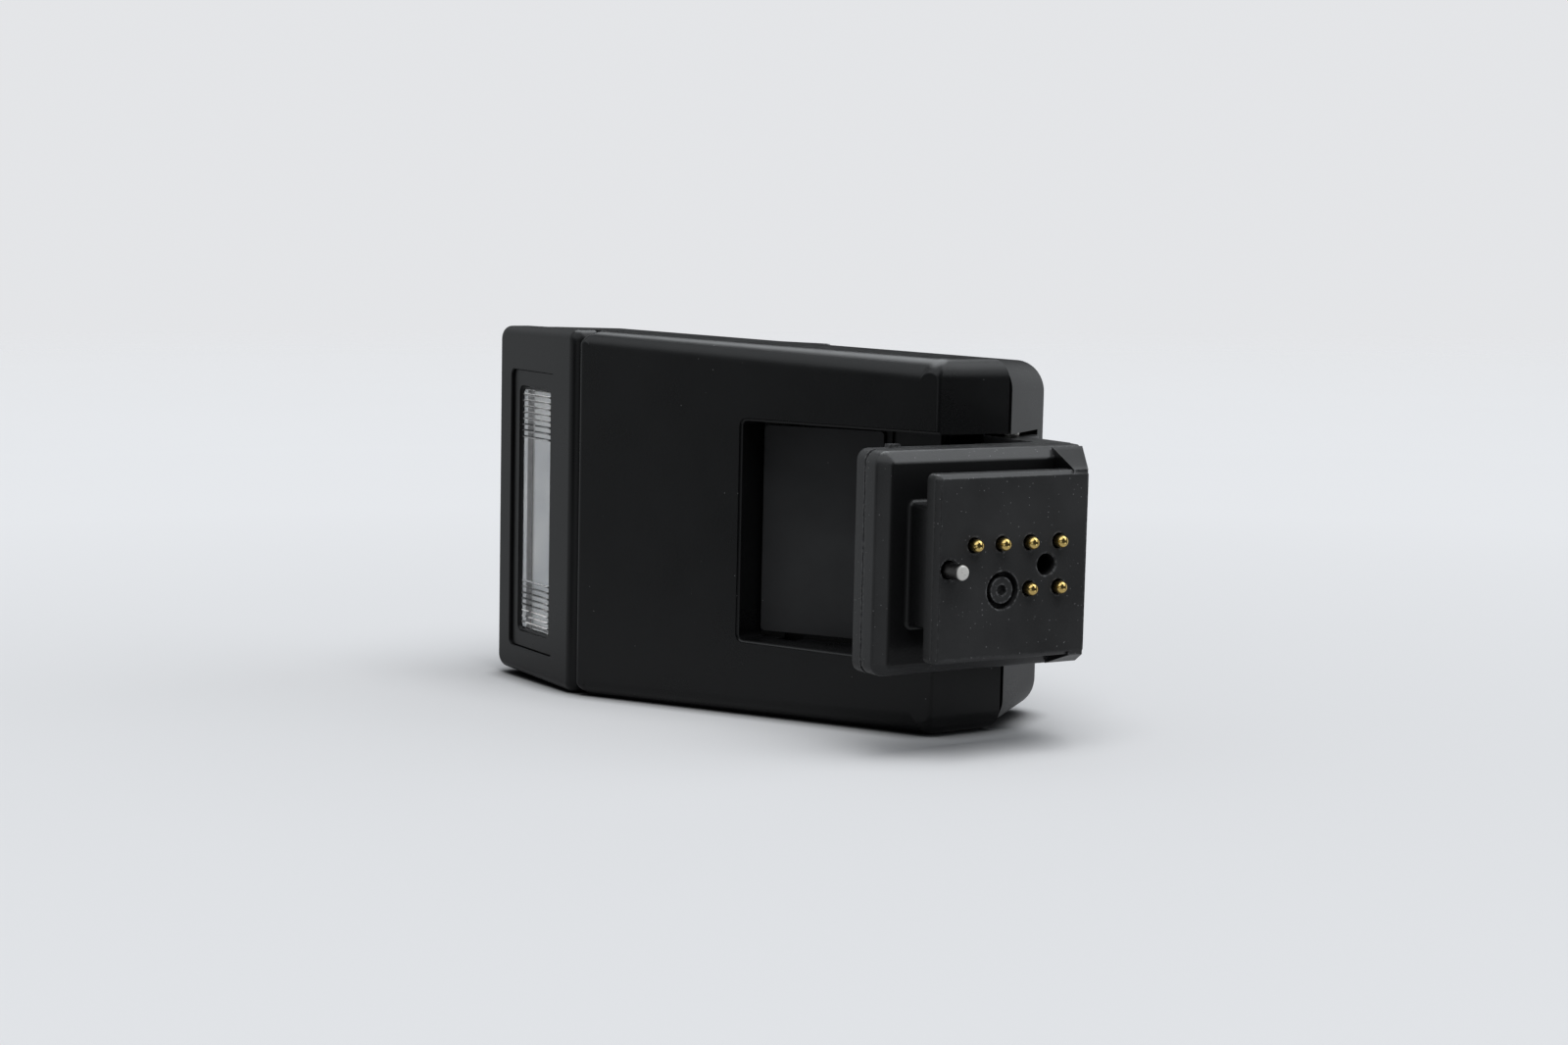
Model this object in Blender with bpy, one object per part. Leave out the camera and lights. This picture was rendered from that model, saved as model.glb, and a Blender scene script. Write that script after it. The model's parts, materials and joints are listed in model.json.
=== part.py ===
"""Pocket camera flash and wireless trigger with a fold-out shoe foot.

Body axes: x runs along the big flat face from the flash head's seam to the hinge end, y runs from
that face to the back, and z runs across the body, whose middle is z = 0. The body lies on its lower
side, with the foot folded out. Lengths are in millimetres and become metres when a mesh is made.
"""

import math

import bmesh
import bpy
from mathutils import Matrix, Vector

MM = 0.001
GAP = 0.3
CLOSE = 0.01
TOUCH = 0.0001
CUT_PAST = 1.0
FACE_STEP = 0.1
UPRIGHT = (0.0, 0.0, 1.0)

# Body outline
HALF_WIDTH = 20.65
TAPER = 0.0225
HEAD_TAPER = 0.022
SHELL_DRAFT = 0.07
FACE_LENGTH = 46.95
DEPTH = 20.0
PARTING = 8.05
PARTING_GAP = 0.4
SHELL_END_FRONT = 50.9
SHELL_END_BACK = 48.85
BEND = math.radians(25.04)
HEAD_LENGTH = 20.0
WALL = 1.6
BACK_WALL = 1.5
HOUSING_CORNER = 2.3
SHELL_CORNER = 3.2
HEAD_CORNER = 1.6
FACE_ROUND = 1.0
BACK_ROUND = 1.5
HEAD_ROOM = 14.0

# Flash head
BEZEL_DEPTH = 3.0
WINDOW_CENTRE = (10.9, -0.9)
FRAME_HALF = (5.3, 16.0)
GLASS_HALF = (3.6, 14.0)
FRAME_INSET = 0.35
FRAME_DEPTH = 2.3
GLASS_INSET = 0.7
GLASS_THICKNESS = 1.3
REFLECTOR_MOUTH = 2.9
REFLECTOR_DEPTH = 6.4
REFLECTOR_HALF = (3.9, 14.4)
REFLECTOR_SKIN = 0.4
TUBE_RADIUS = 1.2
TUBE_INWARD = 7.2
TUBE_HALF = 15.4
ELECTRODE_LENGTH = 1.6

# Foot recess and hinge well
RECESS_START = 22.63
RECESS_HALF = 11.89
RECESS_WALL = 1.2
RECESS_FLOOR = (4.5, 6.7)
DEEP_START = 37.5
DEEP_FLOOR = 7.0
OPEN_START = 43.3
TRAY_WALL = 1.1
LABEL_THICKNESS = 0.3
LABEL_HALF = 11.3
LABEL_END = 36.9
WELL_START = 43.5
WELL_HALF = 11.7
WELL_WALL = 3.2
WELL_FLOOR = 17.0
HINGE = (47.91, 13.64)
HINGE_PIN_RADIUS = 1.0
HINGE_PIN_HALF = 13.9

# Foot, measured along the shoe plate (from its front edge) and down from its contact face
OPEN_ANGLE = math.radians(64.96)
HINGE_ALONG = 21.9
HINGE_DOWN = 18.4
PLATE_LENGTH = 18.2
PLATE_HALF = 9.3
PLATE_THICKNESS = 2.0
PLATE_BEVEL = 0.45
NECK_HALF = 6.1
SHOULDER = 4.9
BLOCK_FRONT = -3.2
BLOCK_HALF = 11.2
BLOCK_BACK = 7.95
BLOCK_BEVEL = 1.2
BLOCK_CORNER = 1.2
STOP_FRONTS = (16.4, 17.8)
STOP_REAR = 21.6
ARM_FRONT = 18.9
ARM_REAR = 22.1
ARM_TOP = 8.25
ARM_BACK = 10.0
BARREL_RADIUS = 3.0
ARM_BACK_ROUND = 0.4
LAYER_STEP = 0.1
NUB_HEIGHT = 0.35
NUB_SPAN = (0.0, 1.2)
NUB_DEPTHS = (8.45, 9.5)
DENT_HALF = (1.1, 1.0)
STOP_PEAK = 0.3
STOP_SINK = 0.8
NECK_SPAN = (0.1, 18.0)
NECK_DEPTHS = (1.6, 6.4)
SHOE_ROOM = ((0.9, 16.2), 5.0)
FOOT_ROOM = ((-0.8, 17.8), 8.4)
FOOT_ROOM_ROOF = 1.2
CONTACT_PLACES = ((4.5, 2.3), (7.8, 2.3), (11.2, 2.3), (14.75, 2.3), (11.2, -2.3), (14.8, -2.3))
CONTACT_RADIUS = 0.65
CONTACT_REACH = 1.4
CONTACT_HOLE = 0.85
CONTACT_FLANGE = 0.95
CONTACT_FLANGE_HEIGHT = 0.4
CONTACT_TAIL = 5.3
BARREL_TUBE = (0.75, 1.1)
BARREL_SPAN = (3.95, 6.3)
LOCK_ALONG = 1.6
LOCK_RADIUS = 0.82
LOCK_REACH = 2.3
LOCK_TAIL = 5.0
LOCK_CHAMFER = 0.25
FOOT_BOARD = ((-0.4, 17.4), (6.6, 7.4), 8.0)
KEY_HOLE = (13.27, 0.0, 1.1)
DIMPLE = (8.0, -2.32, 1.75, 0.75)
DIMPLE_CENTRE_RADIUS = 0.46
FOOT_SCREW_PLACES = ((1.4, 9.6), (1.4, -9.6), (16.6, 9.6), (16.6, -9.6))
FOOT_SCREW = (0.9, 0.6, 0.4, 3.2)
FOOT_SCREW_SINK = 0.95
HOUSING_SCREW_PLACES = ((40.4, 8.0), (40.4, -8.0))
HOUSING_SCREW = (1.5, 0.7, 0.6, 3.2)

# Back controls
DISPLAY_SPAN = (-5.0, 29.0)
DISPLAY_HALF = 15.2
DISPLAY_LEDGE = 2.0
DISPLAY_POCKET = 1.1
DISPLAY_GLASS = 0.8
DISPLAY_MODULE_DEPTH = 2.4
DIAL_PLACE = 35.6
DIAL_RADIUS = 5.2
DIAL_HOLE = 2.8
DIAL_PROUD = 1.2
DIAL_CHAMFER = 0.4
KEY_RADIUS = 2.4
KEY_OFFSET = 12.2
KEY_PROUD = 0.6
KEY_CHAMFER = 0.3
DIAL_BUTTON_PROUD = 0.9
FLANGE = 0.7
ENCODER_RADIUS = 4.6
ENCODER_DROP = 0.8
SWITCH_HALF = 1.8
USB_SPAN = (14.2, 23.1)
USB_DEPTHS = (14.4, 17.6)
USB_LENGTH = 5.9
USB_SINK = 0.5
USB_WALL = 0.35
USB_BACK = 1.0
USB_TONGUE_HALF = 0.35
USB_LIP = 1.2

# Inner pieces
BOARD_DEPTHS = (12.9, 14.1)
BOARD_SPAN = (1.0, 41.4)
BOARD_HALF = 16.6
CAPACITOR = (9.8, 7.3, 4.8, 15.0)
CAPACITOR_CHAMFER = 0.6
TRANSFORMER = ((16.0, 20.8), (6.6, 12.5), (-12.0, -2.0))
TRIGGER_COIL = (-7.2, 16.0, 1.9)
TRIGGER_COIL_ENDS = (4.0, 12.0)
BATTERY = ((23.5, 35.8), (7.9, 12.5), 16.0)
BATTERY_ROUND = 0.8
RADIO = ((3.0, 12.0), 1.4, 6.0)

ROUND_STEPS = 24
MEDIUM_ROUND_STEPS = 16
SMALL_ROUND_STEPS = 12
TROUGH_STEPS = 10
BARREL_STEPS = 14
TIP_ANGLES = (30.0, 60.0, 90.0)
SHARP_ANGLE = math.radians(35.0)

# From the front edge of the shoe plate's face to the hinge
FOOT_SHIFT = (-HINGE_ALONG, -HINGE_DOWN, 0.0)

# Where the body frame's origin stands, so that the whole part is centred over the world origin
CENTRE = (-22.39, -3.42)


def half_width(x):
    """Half the width across the body at a length x, widest where the flash head begins."""
    return HALF_WIDTH - (TAPER * x if x > 0.0 else -HEAD_TAPER * x)


def side_limit(p):
    """Half the width at a point, where the rear shell also narrows towards the back."""
    return half_width(p.x) - SHELL_DRAFT * max(0.0, p.y - PARTING)


def head(along, inward):
    """Body x and y of a point given along the flash head's face and inward from it."""
    x = inward * math.sin(BEND) - along * math.cos(BEND)
    y = inward * math.cos(BEND) + along * math.sin(BEND)
    return x, y


def head_along_at(y, inward):
    """Body x and y where a plane behind the flash head's face reaches depth y."""
    return head((y - inward * math.cos(BEND)) / math.sin(BEND), inward)


def head_inward_at(y, along):
    """Body x and y where a plane across the flash head's face reaches depth y."""
    return head(along, (y - along * math.sin(BEND)) / math.cos(BEND))


def housing_end(y):
    """Length of the front housing's slanted end at depth y."""
    return FACE_LENGTH + y * math.tan(BEND)


def shell_end(y):
    """Length of the rear shell's end at depth y."""
    share = (y - PARTING) / (DEPTH - PARTING)
    return SHELL_END_FRONT + share * (SHELL_END_BACK - SHELL_END_FRONT)


def recess_floor(x):
    """Depth of the recess floor at length x, deepening towards the hinge."""
    near, far = RECESS_FLOOR
    return near + (far - near) * (x - RECESS_START) / (DEEP_START - RECESS_START)


def level(limit, x):
    """A z limit, given as a number or as a function of x."""
    return limit(x) if callable(limit) else limit


def add_prism(bm, outline, low, high):
    """Add a closed prism over an anticlockwise x, y outline."""
    bottom = [bm.verts.new((x, y, level(low, x))) for x, y in outline]
    top = [bm.verts.new((x, y, level(high, x))) for x, y in outline]
    bm.faces.new(bottom[::-1])
    bm.faces.new(top)
    for i in range(len(outline)):
        j = (i + 1) % len(outline)
        bm.faces.new((bottom[i], bottom[j], top[j], top[i]))


def add_body_slab(bm, outline, inset=0.0, draft=0.0):
    """Add a prism over an x, y outline, trimmed by the body's tapered sides or by planes inside them."""
    add_prism(bm, outline, -HALF_WIDTH - CUT_PAST, HALF_WIDTH + CUT_PAST)
    for side in (1.0, -1.0):
        for slope in (TAPER, -HEAD_TAPER):
            cut_along = bmesh.ops.bisect_plane(
                bm, geom=bm.verts[:] + bm.edges[:] + bm.faces[:], dist=TOUCH,
                plane_co=(0.0, PARTING, side * (HALF_WIDTH - inset)), plane_no=(slope, draft, side),
                clear_outer=True)["geom_cut"]
            rim = [e for e in cut_along if isinstance(e, bmesh.types.BMEdge)]
            bmesh.ops.holes_fill(bm, edges=rim)


def add_box(bm, xs, ys, zs):
    """Add a box from its three pairs of limits."""
    outline = [(xs[0], ys[0]), (xs[1], ys[0]), (xs[1], ys[1]), (xs[0], ys[1])]
    add_prism(bm, outline, zs[0], zs[1])


def add_loft(bm, first, second):
    """Add a closed solid between two loops of the same number of corners."""
    a = [bm.verts.new(p) for p in first]
    b = [bm.verts.new(p) for p in second]
    bm.faces.new(a[::-1])
    bm.faces.new(b)
    for i in range(len(first)):
        j = (i + 1) % len(first)
        bm.faces.new((a[i], a[j], b[j], b[i]))


def add_turned(bm, profile, centre=(0.0, 0.0, 0.0), axis=(0.0, 1.0, 0.0), steps=ROUND_STEPS):
    """Add a solid of revolution; the profile lists (radius, along) from one end to the other.

    A profile that starts and ends off the axis is closed on itself, as a ring or a tube.
    """
    turn = Vector((0.0, 0.0, 1.0)).rotation_difference(Vector(axis)).to_matrix()
    place = Vector(centre)

    def corner(radius, along, angle):
        return place + turn @ Vector((radius * math.cos(angle), radius * math.sin(angle), along))

    loops = []
    for radius, along in profile:
        if radius == 0.0:
            loops.append([bm.verts.new(corner(0.0, along, 0.0))])
        else:
            angles = [2.0 * math.pi * k / steps for k in range(steps)]
            loops.append([bm.verts.new(corner(radius, along, angle)) for angle in angles])
    pairs = list(zip(loops, loops[1:]))
    if profile[0][0] > 0.0 and profile[-1][0] > 0.0:
        pairs.append((loops[-1], loops[0]))
    for a, b in pairs:
        for k in range(steps):
            n = (k + 1) % steps
            ring = [a[k % len(a)], a[n % len(a)], b[n % len(b)], b[k % len(b)]]
            bm.faces.new(list(dict.fromkeys(ring)))


def add_cylinder(bm, radius, ends, centre=(0.0, 0.0, 0.0), axis=(0.0, 1.0, 0.0), steps=ROUND_STEPS):
    """Add a plain cylinder between two distances along its axis."""
    profile = [(0.0, ends[0]), (radius, ends[0]), (radius, ends[1]), (0.0, ends[1])]
    add_turned(bm, profile, centre, axis, steps)


def round_edges(bm, test, radius, segments):
    """Round the edges whose two ends and middle all pass a test."""
    edges = []
    for edge in bm.edges:
        a, b = (v.co for v in edge.verts)
        if test(a) and test(b) and test((a + b) / 2):
            edges.append(edge)
    bmesh.ops.bevel(bm, geom=edges, offset=radius, offset_type="OFFSET", segments=segments,
                    profile=0.5, affect="EDGES", clamp_overlap=True)


def on_side(p):
    """True on the upper or lower tapered side of the body."""
    return abs(abs(p.z) - side_limit(p)) < CLOSE


def material(name, colour, roughness, metallic=0.0):
    """A Principled material with one colour."""
    made = bpy.data.materials.new(name)
    made.use_nodes = True
    shader = made.node_tree.nodes["Principled BSDF"]
    shader.inputs["Base Color"].default_value = (*colour, 1.0)
    shader.inputs["Roughness"].default_value = roughness
    shader.inputs["Metallic"].default_value = metallic
    return made


def make_mesh(name, bm, shift=(0.0, 0.0, 0.0)):
    """Turn millimetre geometry into a mesh in metres, with its faces pointing out."""
    bmesh.ops.recalc_face_normals(bm, faces=bm.faces)
    bmesh.ops.transform(bm, matrix=Matrix.Scale(MM, 4) @ Matrix.Translation(shift), verts=bm.verts)
    mesh = bpy.data.meshes.new(name)
    bm.to_mesh(mesh)
    bm.free()
    return mesh


def place_object(name, mesh, parent, origin):
    """Link an object under an empty, with its origin given in millimetres."""
    obj = bpy.data.objects.new(name, mesh)
    bpy.context.collection.objects.link(obj)
    obj.parent = parent
    obj.location = Vector(origin) * MM
    return obj


def make_piece(name, bm, finish, parent, origin=(0.0, 0.0, 0.0), shift=(0.0, 0.0, 0.0)):
    """Make one sub-part from its geometry."""
    mesh = make_mesh(name, bm, shift)
    mesh.materials.append(finish)
    mesh.shade_smooth()
    mesh.set_sharp_from_angle(angle=SHARP_ANGLE)
    return place_object(name, mesh, parent, origin)


def cut(piece, bm, shift=(0.0, 0.0, 0.0)):
    """Cut geometry out of a piece; bodies that overlap in either one count as joined."""
    name = piece.name + "_cutter"
    cutter = place_object(name, make_mesh(name, bm, shift), piece.parent, Vector(piece.location) / MM)
    cutter.display_type = "WIRE"
    cutter.hide_render = True
    modifier = piece.modifiers.new("cut", "BOOLEAN")
    modifier.operation = "DIFFERENCE"
    modifier.solver = "EXACT"
    modifier.use_self = True
    modifier.object = cutter


def build_front_housing(frame, finish):
    """Front shell: big face, foot recess and slanted hinge end, open to the back and to the head."""
    behind_bezel = BEZEL_DEPTH + GAP
    bm = bmesh.new()
    outline = [head_inward_at(0.0, -GAP / 2), (FACE_LENGTH, 0.0), (housing_end(PARTING), PARTING),
               head_along_at(PARTING, behind_bezel), head(-GAP / 2, behind_bezel)]
    add_body_slab(bm, outline)
    round_edges(bm, lambda p: on_side(p) and abs(p.x - housing_end(p.y)) < CLOSE, HOUSING_CORNER, 4)
    round_edges(bm, lambda p: abs(p.y) < CLOSE, FACE_ROUND, 3)
    piece = make_piece("front_housing", bm, finish, frame)

    past = PARTING + CUT_PAST
    tray_side = RECESS_HALF + RECESS_WALL
    tray_start = RECESS_START - RECESS_WALL
    inner_end = WALL / math.cos(BEND)
    bm = bmesh.new()
    start = head_inward_at(WALL, -WALL)
    head_room = [start, (tray_start, WALL), (tray_start, past), (-HEAD_ROOM, past),
                 head(HEAD_ROOM, BEZEL_DEPTH - GAP)]
    add_body_slab(bm, head_room, WALL)
    before_tray = tray_start - CUT_PAST
    top = WALL + FACE_STEP
    channel = [(before_tray, top), (housing_end(WALL) - inner_end, top),
               (housing_end(past) - inner_end, past), (before_tray, past)]
    add_prism(bm, channel, tray_side, lambda x: half_width(x) - top)
    add_prism(bm, channel, lambda x: top - half_width(x), -tray_side)
    below = [(x, recess_floor(x) + TRAY_WALL) for x in (before_tray, DEEP_START - TRAY_WALL)]
    below += [(DEEP_START - TRAY_WALL, past), (before_tray, past)]
    add_prism(bm, below, -tray_side - CUT_PAST, tray_side + CUT_PAST)
    cut(piece, bm)

    out = housing_end(past) + CUT_PAST
    bm = bmesh.new()
    recess_end = DEEP_START + CUT_PAST
    recess = [(RECESS_START, -CUT_PAST), (recess_end, -CUT_PAST), (recess_end, recess_floor(recess_end)),
              (RECESS_START, recess_floor(RECESS_START))]
    add_prism(bm, recess, -RECESS_HALF, RECESS_HALF)
    side = RECESS_HALF - FACE_STEP
    add_box(bm, (DEEP_START, out), (-2.0 * CUT_PAST, DEEP_FLOOR), (-side, side))
    side = RECESS_HALF - 2.0 * FACE_STEP
    add_box(bm, (OPEN_START, out + CUT_PAST), (-3.0 * CUT_PAST, past), (-side, side))
    bore = HOUSING_SCREW[2] + GAP
    for x, z in HOUSING_SCREW_PLACES:
        add_cylinder(bm, bore, (DEEP_FLOOR - CUT_PAST, past), (x, 0.0, z), steps=SMALL_ROUND_STEPS)
    dent_x = HINGE[0] - HINGE_ALONG + sum(NUB_SPAN) / 2
    dent_y = HINGE[1] - HINGE_DOWN + (ARM_TOP + ARM_BACK) / 2
    dent = RECESS_HALF + NUB_HEIGHT
    along, deep = DENT_HALF
    add_box(bm, (dent_x - along, dent_x + along), (dent_y - deep, dent_y + deep), (-dent, dent))
    cut(piece, bm)


def build_rear_shell(frame, finish):
    """Back half: display opening, control holes, socket slot and the well that holds the hinge."""
    front = PARTING + PARTING_GAP
    behind_bezel = BEZEL_DEPTH + GAP
    bm = bmesh.new()
    outline = [head_along_at(front, behind_bezel), (shell_end(front), front), (shell_end(DEPTH), DEPTH),
               head_inward_at(DEPTH, HEAD_LENGTH), head(HEAD_LENGTH, behind_bezel)]
    add_body_slab(bm, outline, 0.0, SHELL_DRAFT)
    round_edges(bm, lambda p: on_side(p) and abs(p.x - shell_end(p.y)) < CLOSE, SHELL_CORNER, 5)
    round_edges(bm, lambda p: on_side(p) and abs(head_inward_at(p.y, HEAD_LENGTH)[0] - p.x) < CLOSE,
                HEAD_CORNER, 3)
    round_edges(bm, lambda p: abs(p.y - DEPTH) < CLOSE, BACK_ROUND, 3)
    piece = make_piece("rear_shell", bm, finish, frame)

    before = PARTING - 2.0 * GAP
    inside = DEPTH - BACK_WALL
    well_side = WELL_HALF + WELL_WALL
    well_start = WELL_START - WALL
    deck = PARTING + PARTING_GAP + TRAY_WALL
    inner = HEAD_LENGTH - WALL
    bm = bmesh.new()
    room = [head_along_at(before, BEZEL_DEPTH - GAP), (DEEP_START - WALL, before),
            (DEEP_START - WALL, deck), (well_start, deck), (well_start, inside),
            head_inward_at(inside, inner), head(inner, BEZEL_DEPTH - GAP)]
    add_body_slab(bm, room, WALL, SHELL_DRAFT)
    near = DEEP_START - WALL - CUT_PAST
    floor = inside - FACE_STEP
    channel = [(near, before - CUT_PAST), (shell_end(before) - WALL, before - CUT_PAST),
               (shell_end(inside) - WALL, floor), (near, floor)]
    channel_side = half_width(SHELL_END_FRONT) - SHELL_DRAFT * (DEPTH - PARTING) - WALL
    add_prism(bm, channel, well_side, channel_side)
    add_prism(bm, channel, -channel_side, -well_side)
    cut(piece, bm)

    bm = bmesh.new()
    out = SHELL_END_FRONT + CUT_PAST
    add_box(bm, (WELL_START, out), (before, WELL_FLOOR), (-WELL_HALF, WELL_HALF))
    add_cylinder(bm, HINGE_PIN_RADIUS + GAP, (-HINGE_PIN_HALF - GAP, HINGE_PIN_HALF + GAP),
                 (*HINGE, 0.0), UPRIGHT)
    for x, z in HOUSING_SCREW_PLACES:
        add_cylinder(bm, HOUSING_SCREW[2] + GAP, (before, deck + CUT_PAST), (x, 0.0, z),
                     steps=SMALL_ROUND_STEPS)
    through = (inside - CUT_PAST, DEPTH + CUT_PAST)
    add_box(bm, DISPLAY_SPAN, (DEPTH - DISPLAY_POCKET, through[1]), (-DISPLAY_HALF, DISPLAY_HALF))
    hole = DISPLAY_HALF - DISPLAY_LEDGE
    add_box(bm, (DISPLAY_SPAN[0] + DISPLAY_LEDGE, DISPLAY_SPAN[1] - DISPLAY_LEDGE),
            (through[0], through[1] + CUT_PAST), (-hole, hole))
    add_cylinder(bm, DIAL_RADIUS + GAP, through, (DIAL_PLACE, 0.0, 0.0))
    for z in (KEY_OFFSET, -KEY_OFFSET):
        add_cylinder(bm, KEY_RADIUS + GAP, through, (DIAL_PLACE, 0.0, z))
    add_box(bm, (USB_SPAN[0] - GAP, USB_SPAN[1] + GAP), (USB_DEPTHS[0] - GAP, USB_DEPTHS[1] + GAP),
            (HALF_WIDTH - 2.5 * WALL, HALF_WIDTH + CUT_PAST))
    cut(piece, bm)


def window_outline(half, near, far):
    """Outline behind the flash head's face of a panel centred on the window."""
    middle = WINDOW_CENTRE[0]
    return [head(middle - half, near), head(middle - half, far), head(middle + half, far),
            head(middle + half, near)]


def window_heights(half):
    """Lowest and highest z of a panel centred on the window."""
    return WINDOW_CENTRE[1] - half, WINDOW_CENTRE[1] + half


def add_window_panel(bm, halves, near, far):
    """Add a flat panel behind the flash head's face, centred on the window."""
    add_prism(bm, window_outline(halves[0], near, far), *window_heights(halves[1]))


def build_lens_bezel(frame, finish):
    """Frame of the flash head, with a through opening for the window frame."""
    bm = bmesh.new()
    outline = [head(GAP / 2, 0.0), head(GAP / 2, BEZEL_DEPTH), head(HEAD_LENGTH, BEZEL_DEPTH),
               head(HEAD_LENGTH, 0.0)]
    add_body_slab(bm, outline)

    def inward(p):
        return p.x * math.sin(BEND) + p.y * math.cos(BEND)

    def along(p):
        return p.y * math.sin(BEND) - p.x * math.cos(BEND)

    round_edges(bm, lambda p: abs(along(p) - HEAD_LENGTH) < CLOSE and abs(p.z) > half_width(p.x) - CLOSE,
                HEAD_CORNER, 3)
    round_edges(bm, lambda p: abs(inward(p)) < CLOSE, FACE_ROUND, 3)
    piece = make_piece("lens_bezel", bm, finish, frame)
    bm = bmesh.new()
    add_window_panel(bm, (FRAME_HALF[0] + GAP, FRAME_HALF[1] + GAP), -CUT_PAST, BEZEL_DEPTH + CUT_PAST)
    cut(piece, bm)


def build_window(frame, frame_finish, glass_finish):
    """Inset window frame and the clear window in it."""
    bm = bmesh.new()
    add_window_panel(bm, FRAME_HALF, FRAME_INSET, FRAME_INSET + FRAME_DEPTH)
    piece = make_piece("window_frame", bm, frame_finish, frame)
    bm = bmesh.new()
    add_window_panel(bm, (GLASS_HALF[0] + GAP, GLASS_HALF[1] + GAP), -CUT_PAST, BEZEL_DEPTH + CUT_PAST)
    cut(piece, bm)
    bm = bmesh.new()
    add_window_panel(bm, GLASS_HALF, GLASS_INSET, GLASS_INSET + GLASS_THICKNESS)
    make_piece("flash_window", bm, glass_finish, frame)


def reflector_outline(skin, mouth):
    """Parabolic trough section, closed across its mouth."""
    width = REFLECTOR_HALF[0] - skin
    deepest = REFLECTOR_MOUTH + REFLECTOR_DEPTH - skin
    shares = [2.0 * k / TROUGH_STEPS - 1.0 for k in range(TROUGH_STEPS + 1)]
    curve = [head(WINDOW_CENTRE[0] + share * width,
                  deepest - (deepest - REFLECTOR_MOUTH) * share * share) for share in shares]
    rim = [head(WINDOW_CENTRE[0] + width, mouth), head(WINDOW_CENTRE[0] - width, mouth)]
    return curve + (rim if mouth < REFLECTOR_MOUTH else [])


def build_reflector(frame, finish):
    """Bright trough behind the window, with holes in its ends for the tube."""
    bm = bmesh.new()
    add_prism(bm, reflector_outline(0.0, REFLECTOR_MOUTH), *window_heights(REFLECTOR_HALF[1]))
    piece = make_piece("reflector", bm, finish, frame)
    bm = bmesh.new()
    add_prism(bm, reflector_outline(REFLECTOR_SKIN, REFLECTOR_MOUTH - CUT_PAST),
              *window_heights(REFLECTOR_HALF[1] - REFLECTOR_SKIN))
    tube = head(WINDOW_CENTRE[0], TUBE_INWARD)
    add_cylinder(bm, TUBE_RADIUS + GAP, window_heights(REFLECTOR_HALF[1] + CUT_PAST), (*tube, 0.0),
                 UPRIGHT, MEDIUM_ROUND_STEPS)
    cut(piece, bm)


def build_flash_tube(frame, glass, metal):
    """Glass tube along the trough, and the metal cap on each end of it."""
    centre = (*head(WINDOW_CENTRE[0], TUBE_INWARD), WINDOW_CENTRE[1])
    bm = bmesh.new()
    add_cylinder(bm, TUBE_RADIUS, (-TUBE_HALF, TUBE_HALF), centre, UPRIGHT, MEDIUM_ROUND_STEPS)
    make_piece("flash_tube", bm, glass, frame)
    inner = TUBE_HALF + GAP
    outer = inner + ELECTRODE_LENGTH
    for name, ends in (("upper_electrode", (inner, outer)), ("lower_electrode", (-outer, -inner))):
        bm = bmesh.new()
        add_cylinder(bm, TUBE_RADIUS, ends, centre, UPRIGHT, MEDIUM_ROUND_STEPS)
        make_piece(name, bm, metal, frame)


def build_power_pieces(frame, finishes):
    """Capacitor, transformer, trigger coil, battery cell, main board and radio module."""
    x, y, radius, half = CAPACITOR
    face = radius - CAPACITOR_CHAMFER
    side = half - CAPACITOR_CHAMFER
    profile = [(0.0, -half), (face, -half), (radius, -side), (radius, side), (face, half), (0.0, half)]
    bm = bmesh.new()
    add_turned(bm, profile, (x, y, 0.0), UPRIGHT)
    make_piece("main_capacitor", bm, finishes["sleeve"], frame)

    bm = bmesh.new()
    add_box(bm, *TRANSFORMER)
    make_piece("charge_transformer", bm, finishes["ferrite"], frame)

    x, y, radius = TRIGGER_COIL
    bm = bmesh.new()
    add_cylinder(bm, radius, TRIGGER_COIL_ENDS, (x, y, 0.0), UPRIGHT, MEDIUM_ROUND_STEPS)
    make_piece("trigger_coil", bm, finishes["ferrite"], frame)

    xs, ys, half = BATTERY
    bm = bmesh.new()
    add_box(bm, xs, ys, (-half, half))
    round_edges(bm, lambda p: abs(abs(p.z) - half) < CLOSE, BATTERY_ROUND, 2)
    make_piece("battery_cell", bm, finishes["foil"], frame)

    bm = bmesh.new()
    add_box(bm, BOARD_SPAN, BOARD_DEPTHS, (-BOARD_HALF, BOARD_HALF))
    make_piece("main_board", bm, finishes["board"], frame)

    xs, height, half = RADIO
    behind = BOARD_DEPTHS[1] + GAP
    bm = bmesh.new()
    add_box(bm, xs, (behind, behind + height), (-half, half))
    make_piece("radio_module", bm, finishes["tin"], frame)


def build_display(frame, module_finish, glass_finish):
    """Display module behind the back wall, and its cover glass set flush in the wall."""
    side = DISPLAY_HALF - DISPLAY_LEDGE - GAP
    inset = DISPLAY_LEDGE + GAP
    ledge = DEPTH - DISPLAY_POCKET
    bm = bmesh.new()
    add_box(bm, (DISPLAY_SPAN[0] + inset, DISPLAY_SPAN[1] - inset), (ledge - DISPLAY_MODULE_DEPTH, ledge),
            (-side, side))
    make_piece("display_module", bm, module_finish, frame)
    bm = bmesh.new()
    side = DISPLAY_HALF - GAP
    add_box(bm, (DISPLAY_SPAN[0] + GAP, DISPLAY_SPAN[1] - GAP), (DEPTH - DISPLAY_GLASS, DEPTH),
            (-side, side))
    make_piece("display_window", bm, glass_finish, frame)


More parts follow.
